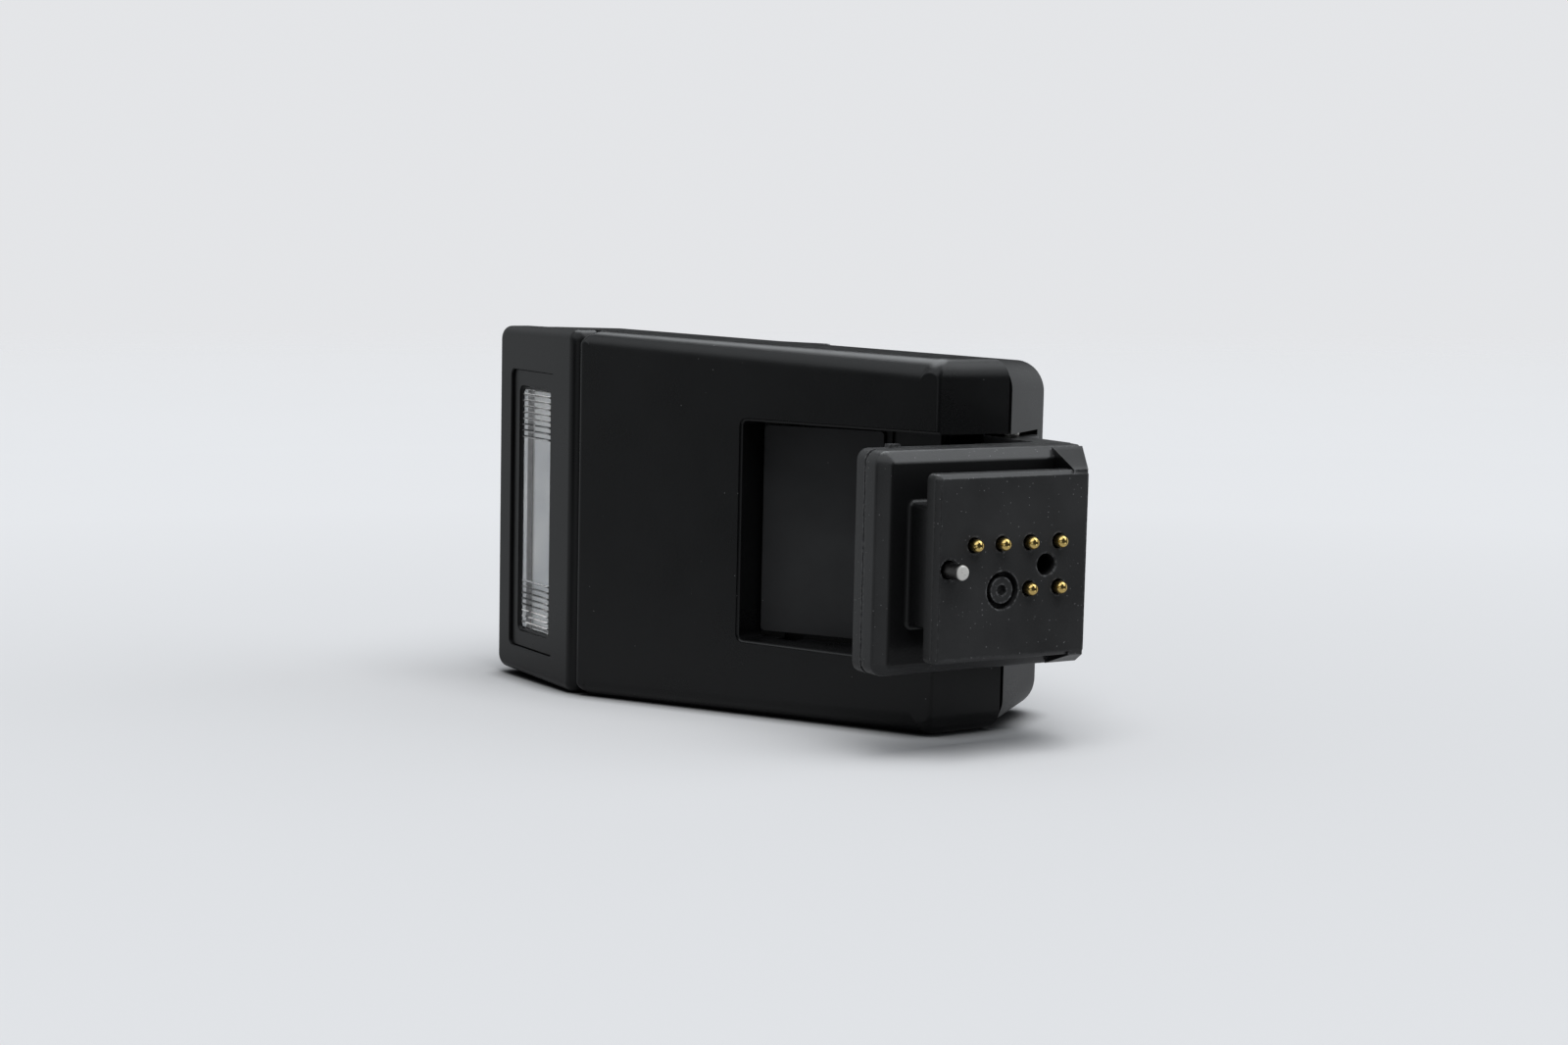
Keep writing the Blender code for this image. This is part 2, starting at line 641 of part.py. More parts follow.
def build_controls(frame, finishes):
    """Dial with its centre button and encoder, two keys, and the switches under the keys."""
    inside = -BACK_WALL - GAP
    under = inside - FLANGE
    bm = bmesh.new()
    profile = [(DIAL_HOLE, under), (DIAL_RADIUS + FLANGE, under), (DIAL_RADIUS + FLANGE, inside),
               (DIAL_RADIUS, inside), (DIAL_RADIUS, DIAL_PROUD - DIAL_CHAMFER),
               (DIAL_RADIUS - DIAL_CHAMFER, DIAL_PROUD), (DIAL_HOLE, DIAL_PROUD)]
    add_turned(bm, profile)
    make_piece("control_dial", bm, finishes["key"], frame, (DIAL_PLACE, DEPTH, 0.0))

    bm = bmesh.new()
    radius = DIAL_HOLE - GAP
    profile = [(0.0, under), (radius, under), (radius, DIAL_BUTTON_PROUD - KEY_CHAMFER),
               (radius - KEY_CHAMFER, DIAL_BUTTON_PROUD), (0.0, DIAL_BUTTON_PROUD)]
    add_turned(bm, profile)
    make_piece("dial_button", bm, finishes["key"], frame, (DIAL_PLACE, DEPTH, 0.0))

    encoder_top = under - ENCODER_DROP
    encoder_foot = BOARD_DEPTHS[1] + GAP - DEPTH
    bm = bmesh.new()
    add_cylinder(bm, ENCODER_RADIUS, (encoder_foot, encoder_top))
    make_piece("dial_encoder", bm, finishes["tin"], frame, (DIAL_PLACE, DEPTH, 0.0))

    wide = KEY_RADIUS + FLANGE
    profile = [(0.0, under), (wide, under), (wide, inside), (KEY_RADIUS, inside),
               (KEY_RADIUS, KEY_PROUD - KEY_CHAMFER), (KEY_RADIUS - KEY_CHAMFER, KEY_PROUD),
               (0.0, KEY_PROUD)]
    for name, z in (("menu_button", KEY_OFFSET), ("test_button", -KEY_OFFSET)):
        bm = bmesh.new()
        add_turned(bm, profile)
        make_piece(name, bm, finishes["key"], frame, (DIAL_PLACE, DEPTH, z))

    across = (-SWITCH_HALF, SWITCH_HALF)
    for name, z in (("menu_switch", KEY_OFFSET), ("test_switch", -KEY_OFFSET)):
        bm = bmesh.new()
        add_box(bm, across, (encoder_foot, encoder_top), across)
        make_piece(name, bm, finishes["tin"], frame, (DIAL_PLACE, DEPTH, z))


def build_usb_socket(frame, finish):
    """Metal socket that opens through the upper side of the rear shell, with its tongue."""
    mouth = half_width(USB_SPAN[1]) - USB_SINK
    back = mouth - USB_LENGTH
    middle = sum(USB_DEPTHS) / 2
    bm = bmesh.new()
    add_box(bm, USB_SPAN, USB_DEPTHS, (back, mouth))
    piece = make_piece("usb_socket", bm, finish, frame)
    bm = bmesh.new()
    inner = (USB_SPAN[0] + USB_WALL, USB_SPAN[1] - USB_WALL)
    near, far = USB_DEPTHS[0] + USB_WALL, USB_DEPTHS[1] - USB_WALL
    heights = (back + USB_BACK, mouth + CUT_PAST)
    add_box(bm, inner, (near, middle - USB_TONGUE_HALF), heights)
    add_box(bm, inner, (middle + USB_TONGUE_HALF, far), heights)
    add_box(bm, inner, (near, far), (mouth - USB_LIP, mouth + 2.0 * CUT_PAST))
    cut(piece, bm)


def build_label_panel(frame, finish):
    """Flat insert on the sloping recess floor."""
    bm = bmesh.new()
    ends = (RECESS_START + GAP, LABEL_END)
    outline = [(x, recess_floor(x) - GAP - LABEL_THICKNESS) for x in ends]
    outline += [(x, recess_floor(x) - GAP) for x in reversed(ends)]
    add_prism(bm, outline, -LABEL_HALF, LABEL_HALF)
    make_piece("label_panel", bm, finish, frame)


def add_screw(bm, sizes, way=1.0):
    """Add a plain-headed screw that seats at its origin, its shank running along +y or, turned, -y."""
    head_radius, head_height, shank_radius, shank_length = sizes
    profile = [(0.0, -head_height), (head_radius, -head_height), (head_radius, 0.0), (shank_radius, 0.0),
               (shank_radius, shank_length), (0.0, shank_length)]
    add_turned(bm, profile, axis=(0.0, way, 0.0), steps=SMALL_ROUND_STEPS)


def build_hinge(frame, metal):
    """Hinge pin through the well, and the screws that hold the two shells together."""
    bm = bmesh.new()
    add_cylinder(bm, HINGE_PIN_RADIUS, (-HINGE_PIN_HALF, HINGE_PIN_HALF), (*HINGE, 0.0), UPRIGHT,
                 MEDIUM_ROUND_STEPS)
    make_piece("hinge_pin", bm, metal, frame)
    for number, (x, z) in enumerate(HOUSING_SCREW_PLACES, 1):
        bm = bmesh.new()
        add_screw(bm, HOUSING_SCREW)
        make_piece(f"housing_screw_{number}", bm, metal, frame, (x, DEEP_FLOOR - GAP, z))


def build_foot_arm(axis, finish):
    """Outer layer of the foot, the arm behind it and the barrel around the hinge pin."""
    lift = math.acos((ARM_REAR - HINGE_ALONG) / BARREL_RADIUS)
    angles = [-lift + (math.pi + lift) * k / BARREL_STEPS for k in range(BARREL_STEPS + 1)]
    barrel = [(HINGE_ALONG + BARREL_RADIUS * math.cos(a), HINGE_DOWN + BARREL_RADIUS * math.sin(a))
              for a in angles]
    front = BLOCK_FRONT + LAYER_STEP
    outline = [(front, ARM_TOP), (ARM_REAR, ARM_TOP)] + barrel + [(ARM_FRONT, ARM_BACK), (front, ARM_BACK)]
    bm = bmesh.new()
    add_prism(bm, outline, -BLOCK_HALF, BLOCK_HALF)
    round_edges(bm, lambda p: abs(p.x - front) < CLOSE and abs(abs(p.z) - BLOCK_HALF) < CLOSE,
                BLOCK_CORNER, 3)
    round_edges(bm, lambda p: abs(p.y - ARM_BACK) < CLOSE and p.x < ARM_FRONT + CLOSE, ARM_BACK_ROUND, 2)
    for side in (1.0, -1.0):
        low, high = sorted((side * (BLOCK_HALF - NUB_HEIGHT), side * (BLOCK_HALF + NUB_HEIGHT)))
        add_box(bm, NUB_SPAN, NUB_DEPTHS, (low, high))
    piece = make_piece("foot_arm", bm, finish, axis, shift=FOOT_SHIFT)
    bm = bmesh.new()
    head_radius, _, shank_radius, _ = FOOT_SCREW
    for along, z in FOOT_SCREW_PLACES:
        place = (along, 0.0, z)
        add_cylinder(bm, shank_radius + GAP, (ARM_TOP - CUT_PAST, ARM_BACK + CUT_PAST), place,
                     steps=SMALL_ROUND_STEPS)
        add_cylinder(bm, head_radius + GAP, (ARM_BACK - FOOT_SCREW_SINK, ARM_BACK + 2.0 * CUT_PAST), place,
                     steps=SMALL_ROUND_STEPS)
    reach = BLOCK_HALF + CUT_PAST
    add_cylinder(bm, HINGE_PIN_RADIUS + GAP, (-reach, reach), (HINGE_ALONG, HINGE_DOWN, 0.0), UPRIGHT)
    cut(piece, bm, FOOT_SHIFT)


def build_shoe_base(axis, finish):
    """Block, neck, shoe plate and rear stop in one moulding, hollow from behind."""
    bm = bmesh.new()
    block = [(BLOCK_FRONT, SHOULDER), (STOP_REAR, SHOULDER), (ARM_REAR, BLOCK_BACK),
             (BLOCK_FRONT, BLOCK_BACK)]
    add_prism(bm, block, -BLOCK_HALF, BLOCK_HALF)
    round_edges(bm, lambda p: p.x < BLOCK_FRONT + CLOSE and abs(abs(p.z) - BLOCK_HALF) < CLOSE,
                BLOCK_CORNER, 3)
    round_edges(bm, lambda p: abs(p.y - SHOULDER) < CLOSE, BLOCK_BEVEL, 2)

    plate = bmesh.new()
    add_box(plate, (0.0, PLATE_LENGTH), (0.0, PLATE_THICKNESS), (-PLATE_HALF, PLATE_HALF))
    round_edges(plate, lambda p: abs(p.y) < CLOSE and p.x < PLATE_LENGTH - CLOSE, PLATE_BEVEL, 1)
    scratch = bpy.data.meshes.new("plate")
    plate.to_mesh(scratch)
    plate.free()
    bm.from_mesh(scratch)
    bpy.data.meshes.remove(scratch)

    add_box(bm, NECK_SPAN, NECK_DEPTHS, (-NECK_HALF, NECK_HALF))
    sunk = SHOULDER + STOP_SINK
    wide = BLOCK_HALF - FACE_STEP
    side = PLATE_HALF + FACE_STEP / 2
    high_front, low_front = STOP_FRONTS
    low_rear = STOP_REAR + FACE_STEP
    high_rear = PLATE_LENGTH - FACE_STEP / 2
    low = [(low_front, sunk, -wide), (low_rear, sunk, -wide), (low_rear, sunk, wide),
           (low_front, sunk, wide)]
    high = [(high_front, STOP_PEAK, -side), (high_rear, STOP_PEAK, -side), (high_rear, STOP_PEAK, side),
            (high_front, STOP_PEAK, side)]
    add_loft(bm, low, high)
    piece = make_piece("shoe_base", bm, finish, axis, shift=FOOT_SHIFT)

    bm = bmesh.new()
    past = BLOCK_BACK + CUT_PAST
    span, side = SHOE_ROOM
    add_box(bm, span, (PLATE_THICKNESS - FACE_STEP, past), (-side, side))
    span, side = FOOT_ROOM
    add_box(bm, span, (SHOULDER + FOOT_ROOM_ROOF, past + CUT_PAST), (-side, side))
    add_cylinder(bm, LOCK_RADIUS + GAP, (-CUT_PAST, past), (LOCK_ALONG, 0.0, 0.0), steps=MEDIUM_ROUND_STEPS)
    through = (-CUT_PAST, PLATE_THICKNESS + CUT_PAST)
    for along, z in CONTACT_PLACES:
        add_cylinder(bm, CONTACT_HOLE, through, (along, 0.0, z), steps=SMALL_ROUND_STEPS)
    along, z, radius = KEY_HOLE
    add_cylinder(bm, radius, through, (along, 0.0, z), steps=MEDIUM_ROUND_STEPS)
    along, z, radius, deep = DIMPLE
    add_cylinder(bm, radius, (-CUT_PAST, deep), (along, 0.0, z))
    add_cylinder(bm, DIMPLE_CENTRE_RADIUS, (-2.0 * CUT_PAST, through[1]), (along, 0.0, z),
                 steps=SMALL_ROUND_STEPS)
    bore = FOOT_SCREW[2] + GAP
    for along, z in FOOT_SCREW_PLACES:
        add_cylinder(bm, bore, (sunk, past), (along, 0.0, z), steps=SMALL_ROUND_STEPS)
    cut(piece, bm, FOOT_SHIFT)


def build_contacts(axis, gold, brass, board_finish):
    """Six sprung contact pins, the tubes that guide them and the board under them."""
    tip = [(0.0, -CONTACT_REACH)]
    for degrees in TIP_ANGLES:
        angle = math.radians(degrees)
        rise = CONTACT_RADIUS * (1.0 - math.cos(angle))
        tip.append((CONTACT_RADIUS * math.sin(angle), rise - CONTACT_REACH))
    seat = PLATE_THICKNESS + GAP
    back = seat + CONTACT_FLANGE_HEIGHT
    stem = BARREL_TUBE[0] - GAP
    profile = tip + [(CONTACT_RADIUS, seat), (CONTACT_FLANGE, seat), (CONTACT_FLANGE, back),
                     (stem, back), (stem, CONTACT_TAIL), (0.0, CONTACT_TAIL)]
    for number, (along, z) in enumerate(CONTACT_PLACES, 1):
        bm = bmesh.new()
        add_turned(bm, profile, steps=SMALL_ROUND_STEPS)
        make_piece(f"contact_pin_{number}", bm, gold, axis, (along - HINGE_ALONG, -HINGE_DOWN, z))

    inner, outer = BARREL_TUBE
    near, far = BARREL_SPAN
    ring = [(inner, near), (outer, near), (outer, far), (inner, far)]
    for number, (along, z) in enumerate(CONTACT_PLACES, 1):
        bm = bmesh.new()
        add_turned(bm, ring, steps=SMALL_ROUND_STEPS)
        make_piece(f"contact_barrel_{number}", bm, brass, axis, (along - HINGE_ALONG, -HINGE_DOWN, z))

    bm = bmesh.new()
    span, depths, half = FOOT_BOARD
    add_box(bm, span, depths, (-half, half))
    piece = make_piece("foot_board", bm, board_finish, axis, shift=FOOT_SHIFT)
    bm = bmesh.new()
    add_cylinder(bm, LOCK_RADIUS + 2.0 * GAP, (depths[0] - CUT_PAST, depths[1] + CUT_PAST),
                 (LOCK_ALONG, 0.0, 0.0), steps=MEDIUM_ROUND_STEPS)
    cut(piece, bm, FOOT_SHIFT)


def build_lock_pin(axis, metal):
    """Pin that stands out of the shoe plate, with a chamfered tip."""
    bm = bmesh.new()
    profile = [(0.0, -LOCK_REACH), (LOCK_RADIUS - LOCK_CHAMFER, -LOCK_REACH),
               (LOCK_RADIUS, LOCK_CHAMFER - LOCK_REACH), (LOCK_RADIUS, LOCK_TAIL), (0.0, LOCK_TAIL)]
    add_turned(bm, profile, steps=MEDIUM_ROUND_STEPS)
    make_piece("lock_pin", bm, metal, axis, (LOCK_ALONG - HINGE_ALONG, -HINGE_DOWN, 0.0))


def build_foot_screws(axis, metal):
    """Screws that hold the outer layer to the moulding, their heads sunk in the layer's back."""
    seat = ARM_BACK - FOOT_SCREW_SINK + GAP - HINGE_DOWN
    for number, (along, z) in enumerate(FOOT_SCREW_PLACES, 1):
        bm = bmesh.new()
        add_screw(bm, FOOT_SCREW, -1.0)
        make_piece(f"foot_screw_{number}", bm, metal, axis, (along - HINGE_ALONG, seat, z))


def make_empties():
    """The body frame, which lays the lower side flat, and the hinge axis of the foot in it."""
    frame = bpy.data.objects.new("body_frame", None)
    axis = bpy.data.objects.new("foot_axis", None)
    for empty in (frame, axis):
        bpy.context.collection.objects.link(empty)
    lean = math.atan(TAPER)
    frame.rotation_euler = (0.0, lean, 0.0)
    frame.location = Vector((*CENTRE, HALF_WIDTH * math.cos(lean))) * MM
    axis.parent = frame
    axis.location = Vector((*HINGE, 0.0)) * MM
    axis.rotation_euler = (0.0, 0.0, OPEN_ANGLE)
    return frame, axis


def build():
    """Build the whole part."""
    for obj in list(bpy.data.objects):
        bpy.data.objects.remove(obj, do_unlink=True)
    frame, axis = make_empties()
    black = material("moulded_black", (0.012, 0.012, 0.013), 0.42)
    shell = material("shell_black", (0.016, 0.016, 0.017), 0.45)
    bezel = material("bezel_black", (0.02, 0.02, 0.021), 0.4)
    foot_black = material("foot_black", (0.014, 0.014, 0.015), 0.5)
    label = material("label_grey", (0.018, 0.018, 0.019), 0.55)
    clear = material("clear_window", (0.9, 0.92, 0.93), 0.08)
    silver = material("bright_reflector", (0.92, 0.92, 0.93), 0.12, 1.0)
    steel = material("nickel", (0.72, 0.71, 0.68), 0.22, 1.0)
    gold = material("gold", (0.95, 0.68, 0.24), 0.2, 1.0)
    brass = material("brass", (0.7, 0.52, 0.25), 0.35, 1.0)
    board = material("circuit_board", (0.02, 0.11, 0.05), 0.5)
    dark_glass = material("dark_glass", (0.01, 0.01, 0.012), 0.06)
    inner = {
        "sleeve": material("capacitor_sleeve", (0.03, 0.03, 0.05), 0.4),
        "ferrite": material("ferrite", (0.05, 0.05, 0.05), 0.7),
        "foil": material("cell_foil", (0.6, 0.6, 0.58), 0.3, 0.8),
        "board": board,
        "tin": material("tinned_steel", (0.65, 0.65, 0.66), 0.35, 1.0),
        "key": material("key_black", (0.014, 0.014, 0.015), 0.5),
    }
    build_front_housing(frame, black)
    build_rear_shell(frame, shell)
    build_lens_bezel(frame, bezel)
    build_window(frame, black, clear)
    build_reflector(frame, silver)
    build_flash_tube(frame, clear, steel)
    build_power_pieces(frame, inner)
    build_display(frame, dark_glass, dark_glass)
    build_controls(frame, inner)
    build_usb_socket(frame, inner["tin"])
    build_label_panel(frame, label)
    build_hinge(frame, steel)
    build_foot_arm(axis, foot_black)
    build_shoe_base(axis, foot_black)
    build_contacts(axis, gold, brass, board)
    build_lock_pin(axis, steel)
    build_foot_screws(axis, steel)


build()
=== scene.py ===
"""Dresses a pocket camera flash with a fold-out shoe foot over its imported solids.

Three frames are used, all in millimetres, and each has a matrix that takes it to the world:
BODY has x along the big face from the flash head's seam to the hinge end, y from that face to the back
and z across the body. HEAD is BODY turned with the flash head, with y straight in behind its window.
FOOT has x along the shoe plate from its front edge, y down from its contact face and z across.
"""

import json
import math

import bmesh
import bpy
from bpy.props import FloatProperty, FloatVectorProperty, IntProperty, PointerProperty
from mathutils import Matrix, Vector


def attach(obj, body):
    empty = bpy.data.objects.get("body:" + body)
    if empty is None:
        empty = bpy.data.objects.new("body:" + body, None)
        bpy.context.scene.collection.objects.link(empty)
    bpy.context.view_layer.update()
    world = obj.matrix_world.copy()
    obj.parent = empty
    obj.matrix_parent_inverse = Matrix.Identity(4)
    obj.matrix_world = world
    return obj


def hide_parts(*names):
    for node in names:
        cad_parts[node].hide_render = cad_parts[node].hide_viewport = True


bl_info = {
    "name": "Pocket flash dresser",
    "version": (1, 0, 0),
    "blender": (4, 5, 0),
    "location": "View3D > Sidebar > Flash",
    "description": "Builds the visible pieces of a pocket flash around its solids",
    "category": "Object",
}

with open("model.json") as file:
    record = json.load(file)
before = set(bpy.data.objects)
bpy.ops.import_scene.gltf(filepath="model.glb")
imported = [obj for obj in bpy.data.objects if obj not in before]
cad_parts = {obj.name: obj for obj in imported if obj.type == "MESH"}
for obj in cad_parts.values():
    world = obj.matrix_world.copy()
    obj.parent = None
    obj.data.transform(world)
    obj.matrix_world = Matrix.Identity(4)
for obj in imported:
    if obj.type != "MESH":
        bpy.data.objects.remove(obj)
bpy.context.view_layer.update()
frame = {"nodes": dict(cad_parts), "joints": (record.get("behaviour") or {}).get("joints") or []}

MM = 0.001
GAP = 0.3
CLOSE = 0.01
UP = Vector((0.0, 0.0, 1.0))

# Body outline
HALF_WIDTH = 20.65
TAPER = 0.0225
HEAD_TAPER = 0.022
SHELL_DRAFT = 0.07
FACE_LENGTH = 46.95
DEPTH = 20.0
PARTING = 8.05
PARTING_GAP = 0.4
SHELL_END_FRONT = 50.9
SHELL_END_BACK = 48.85
BEND = math.radians(25.04)
HEAD_LENGTH = 20.0
WALL = 1.6
BACK_WALL = 1.5
HOUSING_CORNER = 2.3
SHELL_CORNER = 3.2
HEAD_CORNER = 1.6
BACK_ROUND = 1.5
BEZEL_DEPTH = 3.0

# Foot recess and hinge well
RECESS_START = 22.63
RECESS_HALF = 11.89
RECESS_WALL = 1.2
RECESS_FLOOR = (4.5, 6.7)
DEEP_START = 37.5
DEEP_FLOOR = 7.0
OPEN_START = 43.3
TRAY_WALL = 1.1
WELL_START = 43.5
WELL_HALF = 11.7
WELL_WALL = 3.2
WELL_FLOOR = 17.0
HINGE = (47.91, 13.64)

# Foot
HINGE_ALONG = 21.9
HINGE_DOWN = 18.4
PLATE_LENGTH = 18.2
PLATE_HALF = 9.3
PLATE_THICKNESS = 2.0
NECK_HALF = 6.1
NECK_SPAN = (0.1, 18.0)
NECK_ROOM = (0.9, 16.2)
NECK_ROOM_HALF = 5.0
BOARD_ROOM = (-0.8, 17.8)
BOARD_ROOM_HALF = 8.4
CONTACT_HOLE = 0.78
CONTACT_DROP = 0.25
PLAIN_HOLE = (13.27, 0.0, 0.0)
PLAIN_HOLE_RADIUS = 1.1
COLLAR = (8.0, 0.0, -2.32)
SHOULDER = 4.9
BLOCK_FRONT = -3.2
BLOCK_HALF = 11.2
BLOCK_BACK = 7.95
BLOCK_BEVEL = 1.2
BLOCK_CORNER = 1.2
STOP_FRONTS = (16.4, 17.8)
STOP_REAR = 21.6
ARM_FRONT = 18.9
ARM_REAR = 22.1
ARM_TOP = 8.25
ARM_BACK = 10.0
BARREL_RADIUS = 3.0
NUB_HEIGHT = 0.35

# The photograph's camera, as focal length in pixels of its width and angles to the body
PHOTO_WIDTH = 1600
PHOTO_FOCAL = 2693.7
CAMERA_PLACE = (182.37, -233.01, 33.48)
CAMERA_YAW = math.radians(-33.465)
CAMERA_PITCH = math.radians(6.562)
CAMERA_ROLL = math.radians(1.2625)
SENSOR = 36.0

# Studio: softboxes as direction, outer and inner angle in degrees and strength
STUDIO_TINT = (0.965, 1.0, 1.03)
ROOM_GLOW = 0.04
BACKDROP_GAIN = 0.97
SOFTBOXES = (
    ((-0.98, -0.1, 0.0), 62.0, 30.0, 0.43),
    ((0.24, 0.96, 0.0), 45.0, 15.0, 0.42),
    ((-0.15, -0.5, 0.85), 42.0, 25.0, 1.0),
    ((-0.3, 0.42, 0.86), 24.0, 18.0, 3.0),
    ((0.4, 0.36, 0.84), 30.0, 14.0, 1.8),
    ((0.86, 0.2, 0.5), 16.0, 9.0, 1.0),
    ((0.88, 0.1, -0.5), 16.0, 9.0, 1.0),
    ((0.15, -0.98, 0.0), 24.0, 8.0, 0.4),
)
FILL_GLOW = 0.1
FILL_BOXES = (
    ((0.86, 0.45, 0.3), 42.0, 15.0, 1.15),
    ((0.0, 0.0, 1.0), 60.0, 25.0, 0.33),
)
FLOOR_RETURN = 0.4
FLOOR_GLOSS = 0.52
SUN_STRENGTH = 2.15
SUN_SPREAD = 52.0
SUN_FROM = (0.3, -0.2, 0.93)


def joint(name):
    """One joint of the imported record."""
    return next(j for j in frame["joints"] if j["name"] == name)


def frame_matrices():
    """World matrices of the body, the flash head and the foot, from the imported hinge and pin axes."""
    hinge = joint("foot_hinge")
    axis = hinge["axis"]
    lean = Matrix.Rotation(math.atan2(axis[0], axis[2]), 4, "Y")
    down = lean.inverted() @ Vector(joint("lock_pin_travel")["axis"])
    open_turn = Matrix.Rotation(math.atan2(-down.x, down.y), 4, "Z")
    at_hinge = Matrix.Translation(hinge["pos_m"]) @ lean @ Matrix.Scale(MM, 4)
    body = at_hinge @ Matrix.Translation((-HINGE[0], -HINGE[1], 0.0))
    head = body @ Matrix.Rotation(-BEND, 4, "Z")
    foot = at_hinge @ open_turn @ Matrix.Translation((-HINGE_ALONG, -HINGE_DOWN, 0.0))
    return body, head, foot


BODY, HEAD, FOOT = frame_matrices()


def extent(node, place):
    """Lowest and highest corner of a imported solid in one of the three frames."""
    back = place.inverted()
    points = [back @ v.co for v in frame["nodes"][node].data.vertices]
    low = Vector([min(p[k] for p in points) for k in range(3)])
    high = Vector([max(p[k] for p in points) for k in range(3)])
    return low, high


class FlashSizes(bpy.types.PropertyGroup):
    """Sizes of the finish that a user would change."""

    face_round: FloatProperty(
        name="Face round", description="Radius of the edges round the big face and the flash head",
        default=0.001, min=0.0002, max=0.0015, unit="LENGTH")
    rim_round: FloatProperty(
        name="Rim round", description="Radius of the edge round the recess and the openings",
        default=0.0003, min=0.00005, max=0.0006, unit="LENGTH")
    plate_bevel: FloatProperty(
        name="Plate bevel", description="Width of the bevel round the shoe plate",
        default=0.00045, min=0.0001, max=0.0008, unit="LENGTH")
    rib_pitch: FloatProperty(
        name="Rib pitch", description="Distance between the ribs of the window",
        default=0.0007, min=0.0003, max=0.002, unit="LENGTH")
    grips: IntProperty(
        name="Grips", description="Number of grips round the dial", default=48, min=12, max=96)


class FlashColours(bpy.types.PropertyGroup):
    """Colours of the finishes."""

    housing: FloatVectorProperty(
        name="Housing", description="Moulded plastic of the housing", subtype="COLOR",
        default=(0.0048, 0.0050, 0.0054), min=0.0, max=1.0)
    shell: FloatVectorProperty(
        name="Rear shell", description="Moulded plastic of the rear shell", subtype="COLOR",
        default=(0.0070, 0.0072, 0.0076), min=0.0, max=1.0)
    foot: FloatVectorProperty(
        name="Foot", description="Glass-filled plastic of the foot", subtype="COLOR",
        default=(0.0285, 0.0290, 0.0300), min=0.0, max=1.0)
    label: FloatVectorProperty(
        name="Label", description="Film in the recess", subtype="COLOR",
        default=(0.030, 0.0305, 0.032), min=0.0, max=1.0)
    gold: FloatVectorProperty(
        name="Contacts", description="Gold plating of the contacts", subtype="COLOR",
        default=(1.0, 0.71, 0.25), min=0.0, max=1.0)
    nickel: FloatVectorProperty(
        name="Steel", description="Nickel plating of the pins and screws", subtype="COLOR",
        default=(0.78, 0.76, 0.73), min=0.0, max=1.0)
    floor: FloatVectorProperty(
        name="Floor", description="Floor and backdrop", subtype="COLOR",
        default=(0.80, 0.81, 0.83), min=0.0, max=1.0)


def sizes():
    """The sizes set in the scene."""
    return bpy.context.scene.flash_sizes


def colours():
    """The colours set in the scene."""
    return bpy.context.scene.flash_colours


# Outlines and meshes


def half_width(x):
    """Half the width across the body at a length x, widest where the flash head begins."""
    return HALF_WIDTH - (TAPER * x if x > 0.0 else -HEAD_TAPER * x)


def side_limit(p):
    """Half the width at a point, where the rear shell also narrows towards the back."""
    return half_width(p.x) - SHELL_DRAFT * max(0.0, p.y - PARTING)


def head(along, inward):
    """Body x and y of a point given along the flash head's face and inward from it."""
    x = inward * math.sin(BEND) - along * math.cos(BEND)
    y = inward * math.cos(BEND) + along * math.sin(BEND)
    return x, y


def head_along_at(y, inward):
    """Body x and y where a plane behind the flash head's face reaches depth y."""
    return head((y - inward * math.cos(BEND)) / math.sin(BEND), inward)


def head_inward_at(y, along):
    """Body x and y where a plane across the flash head's face reaches depth y."""
    return head(along, (y - along * math.sin(BEND)) / math.cos(BEND))


def housing_end(y):
    """Length of the front housing's slanted end at depth y."""
    return FACE_LENGTH + y * math.tan(BEND)


def shell_end(y):
    """Length of the rear shell's end at depth y."""
    share = (y - PARTING) / (DEPTH - PARTING)
    return SHELL_END_FRONT + share * (SHELL_END_BACK - SHELL_END_FRONT)


def recess_floor(x):
    """Depth of the recess floor at length x, deepening towards the hinge."""
    near, far = RECESS_FLOOR
    return near + (far - near) * (x - RECESS_START) / (DEEP_START - RECESS_START)


def rectangle(xs, zs, corner, grow=0.0, steps=6, far=None):
    """Outline of a rectangle with rounded corners as x, z points, moved outward by grow.

    The corners at the far end in x can have a radius of their own.
    """
    low_x, high_x = xs[0] - grow, xs[1] + grow
    low_z, high_z = zs[0] - grow, zs[1] + grow
    near = max(corner + grow, 0.02)
    far = near if far is None else max(far + grow, 0.02)
    middles = ((high_x - far, high_z - far, far), (low_x + near, high_z - near, near),
               (low_x + near, low_z + near, near), (high_x - far, low_z + far, far))
    points = []
    for number, (x, z, radius) in enumerate(middles):
        for k in range(steps + 1):
            angle = math.pi / 2 * (number + k / steps)
            points.append((x + radius * math.cos(angle), z + radius * math.sin(angle)))
    return points


def quarter(radius, steps=5):
    """Sideways and upward steps of a quarter round, from its foot to its top."""
    angles = [math.pi / 2 * k / steps for k in range(steps + 1)]
    return [(radius * (1.0 - math.cos(a)), radius * math.sin(a)) for a in angles]


def add_loft(bm, loops):
    """Add a closed solid through a row of loops with as many points each."""
    rings = [[bm.verts.new(p) for p in loop] for loop in loops]
    bm.faces.new(rings[0])
    bm.faces.new(rings[-1][::-1])
    count = len(rings[0])
    for a, b in zip(rings, rings[1:]):
        for k in range(count):
            n = (k + 1) % count
            bm.faces.new((a[k], b[k], b[n], a[n]))


def add_stack(bm, levels):
    """Add a closed solid through outlines at a row of depths, each given as an outline and its y."""
    add_loft(bm, [[(x, y, z) for x, z in outline] for outline, y in levels])


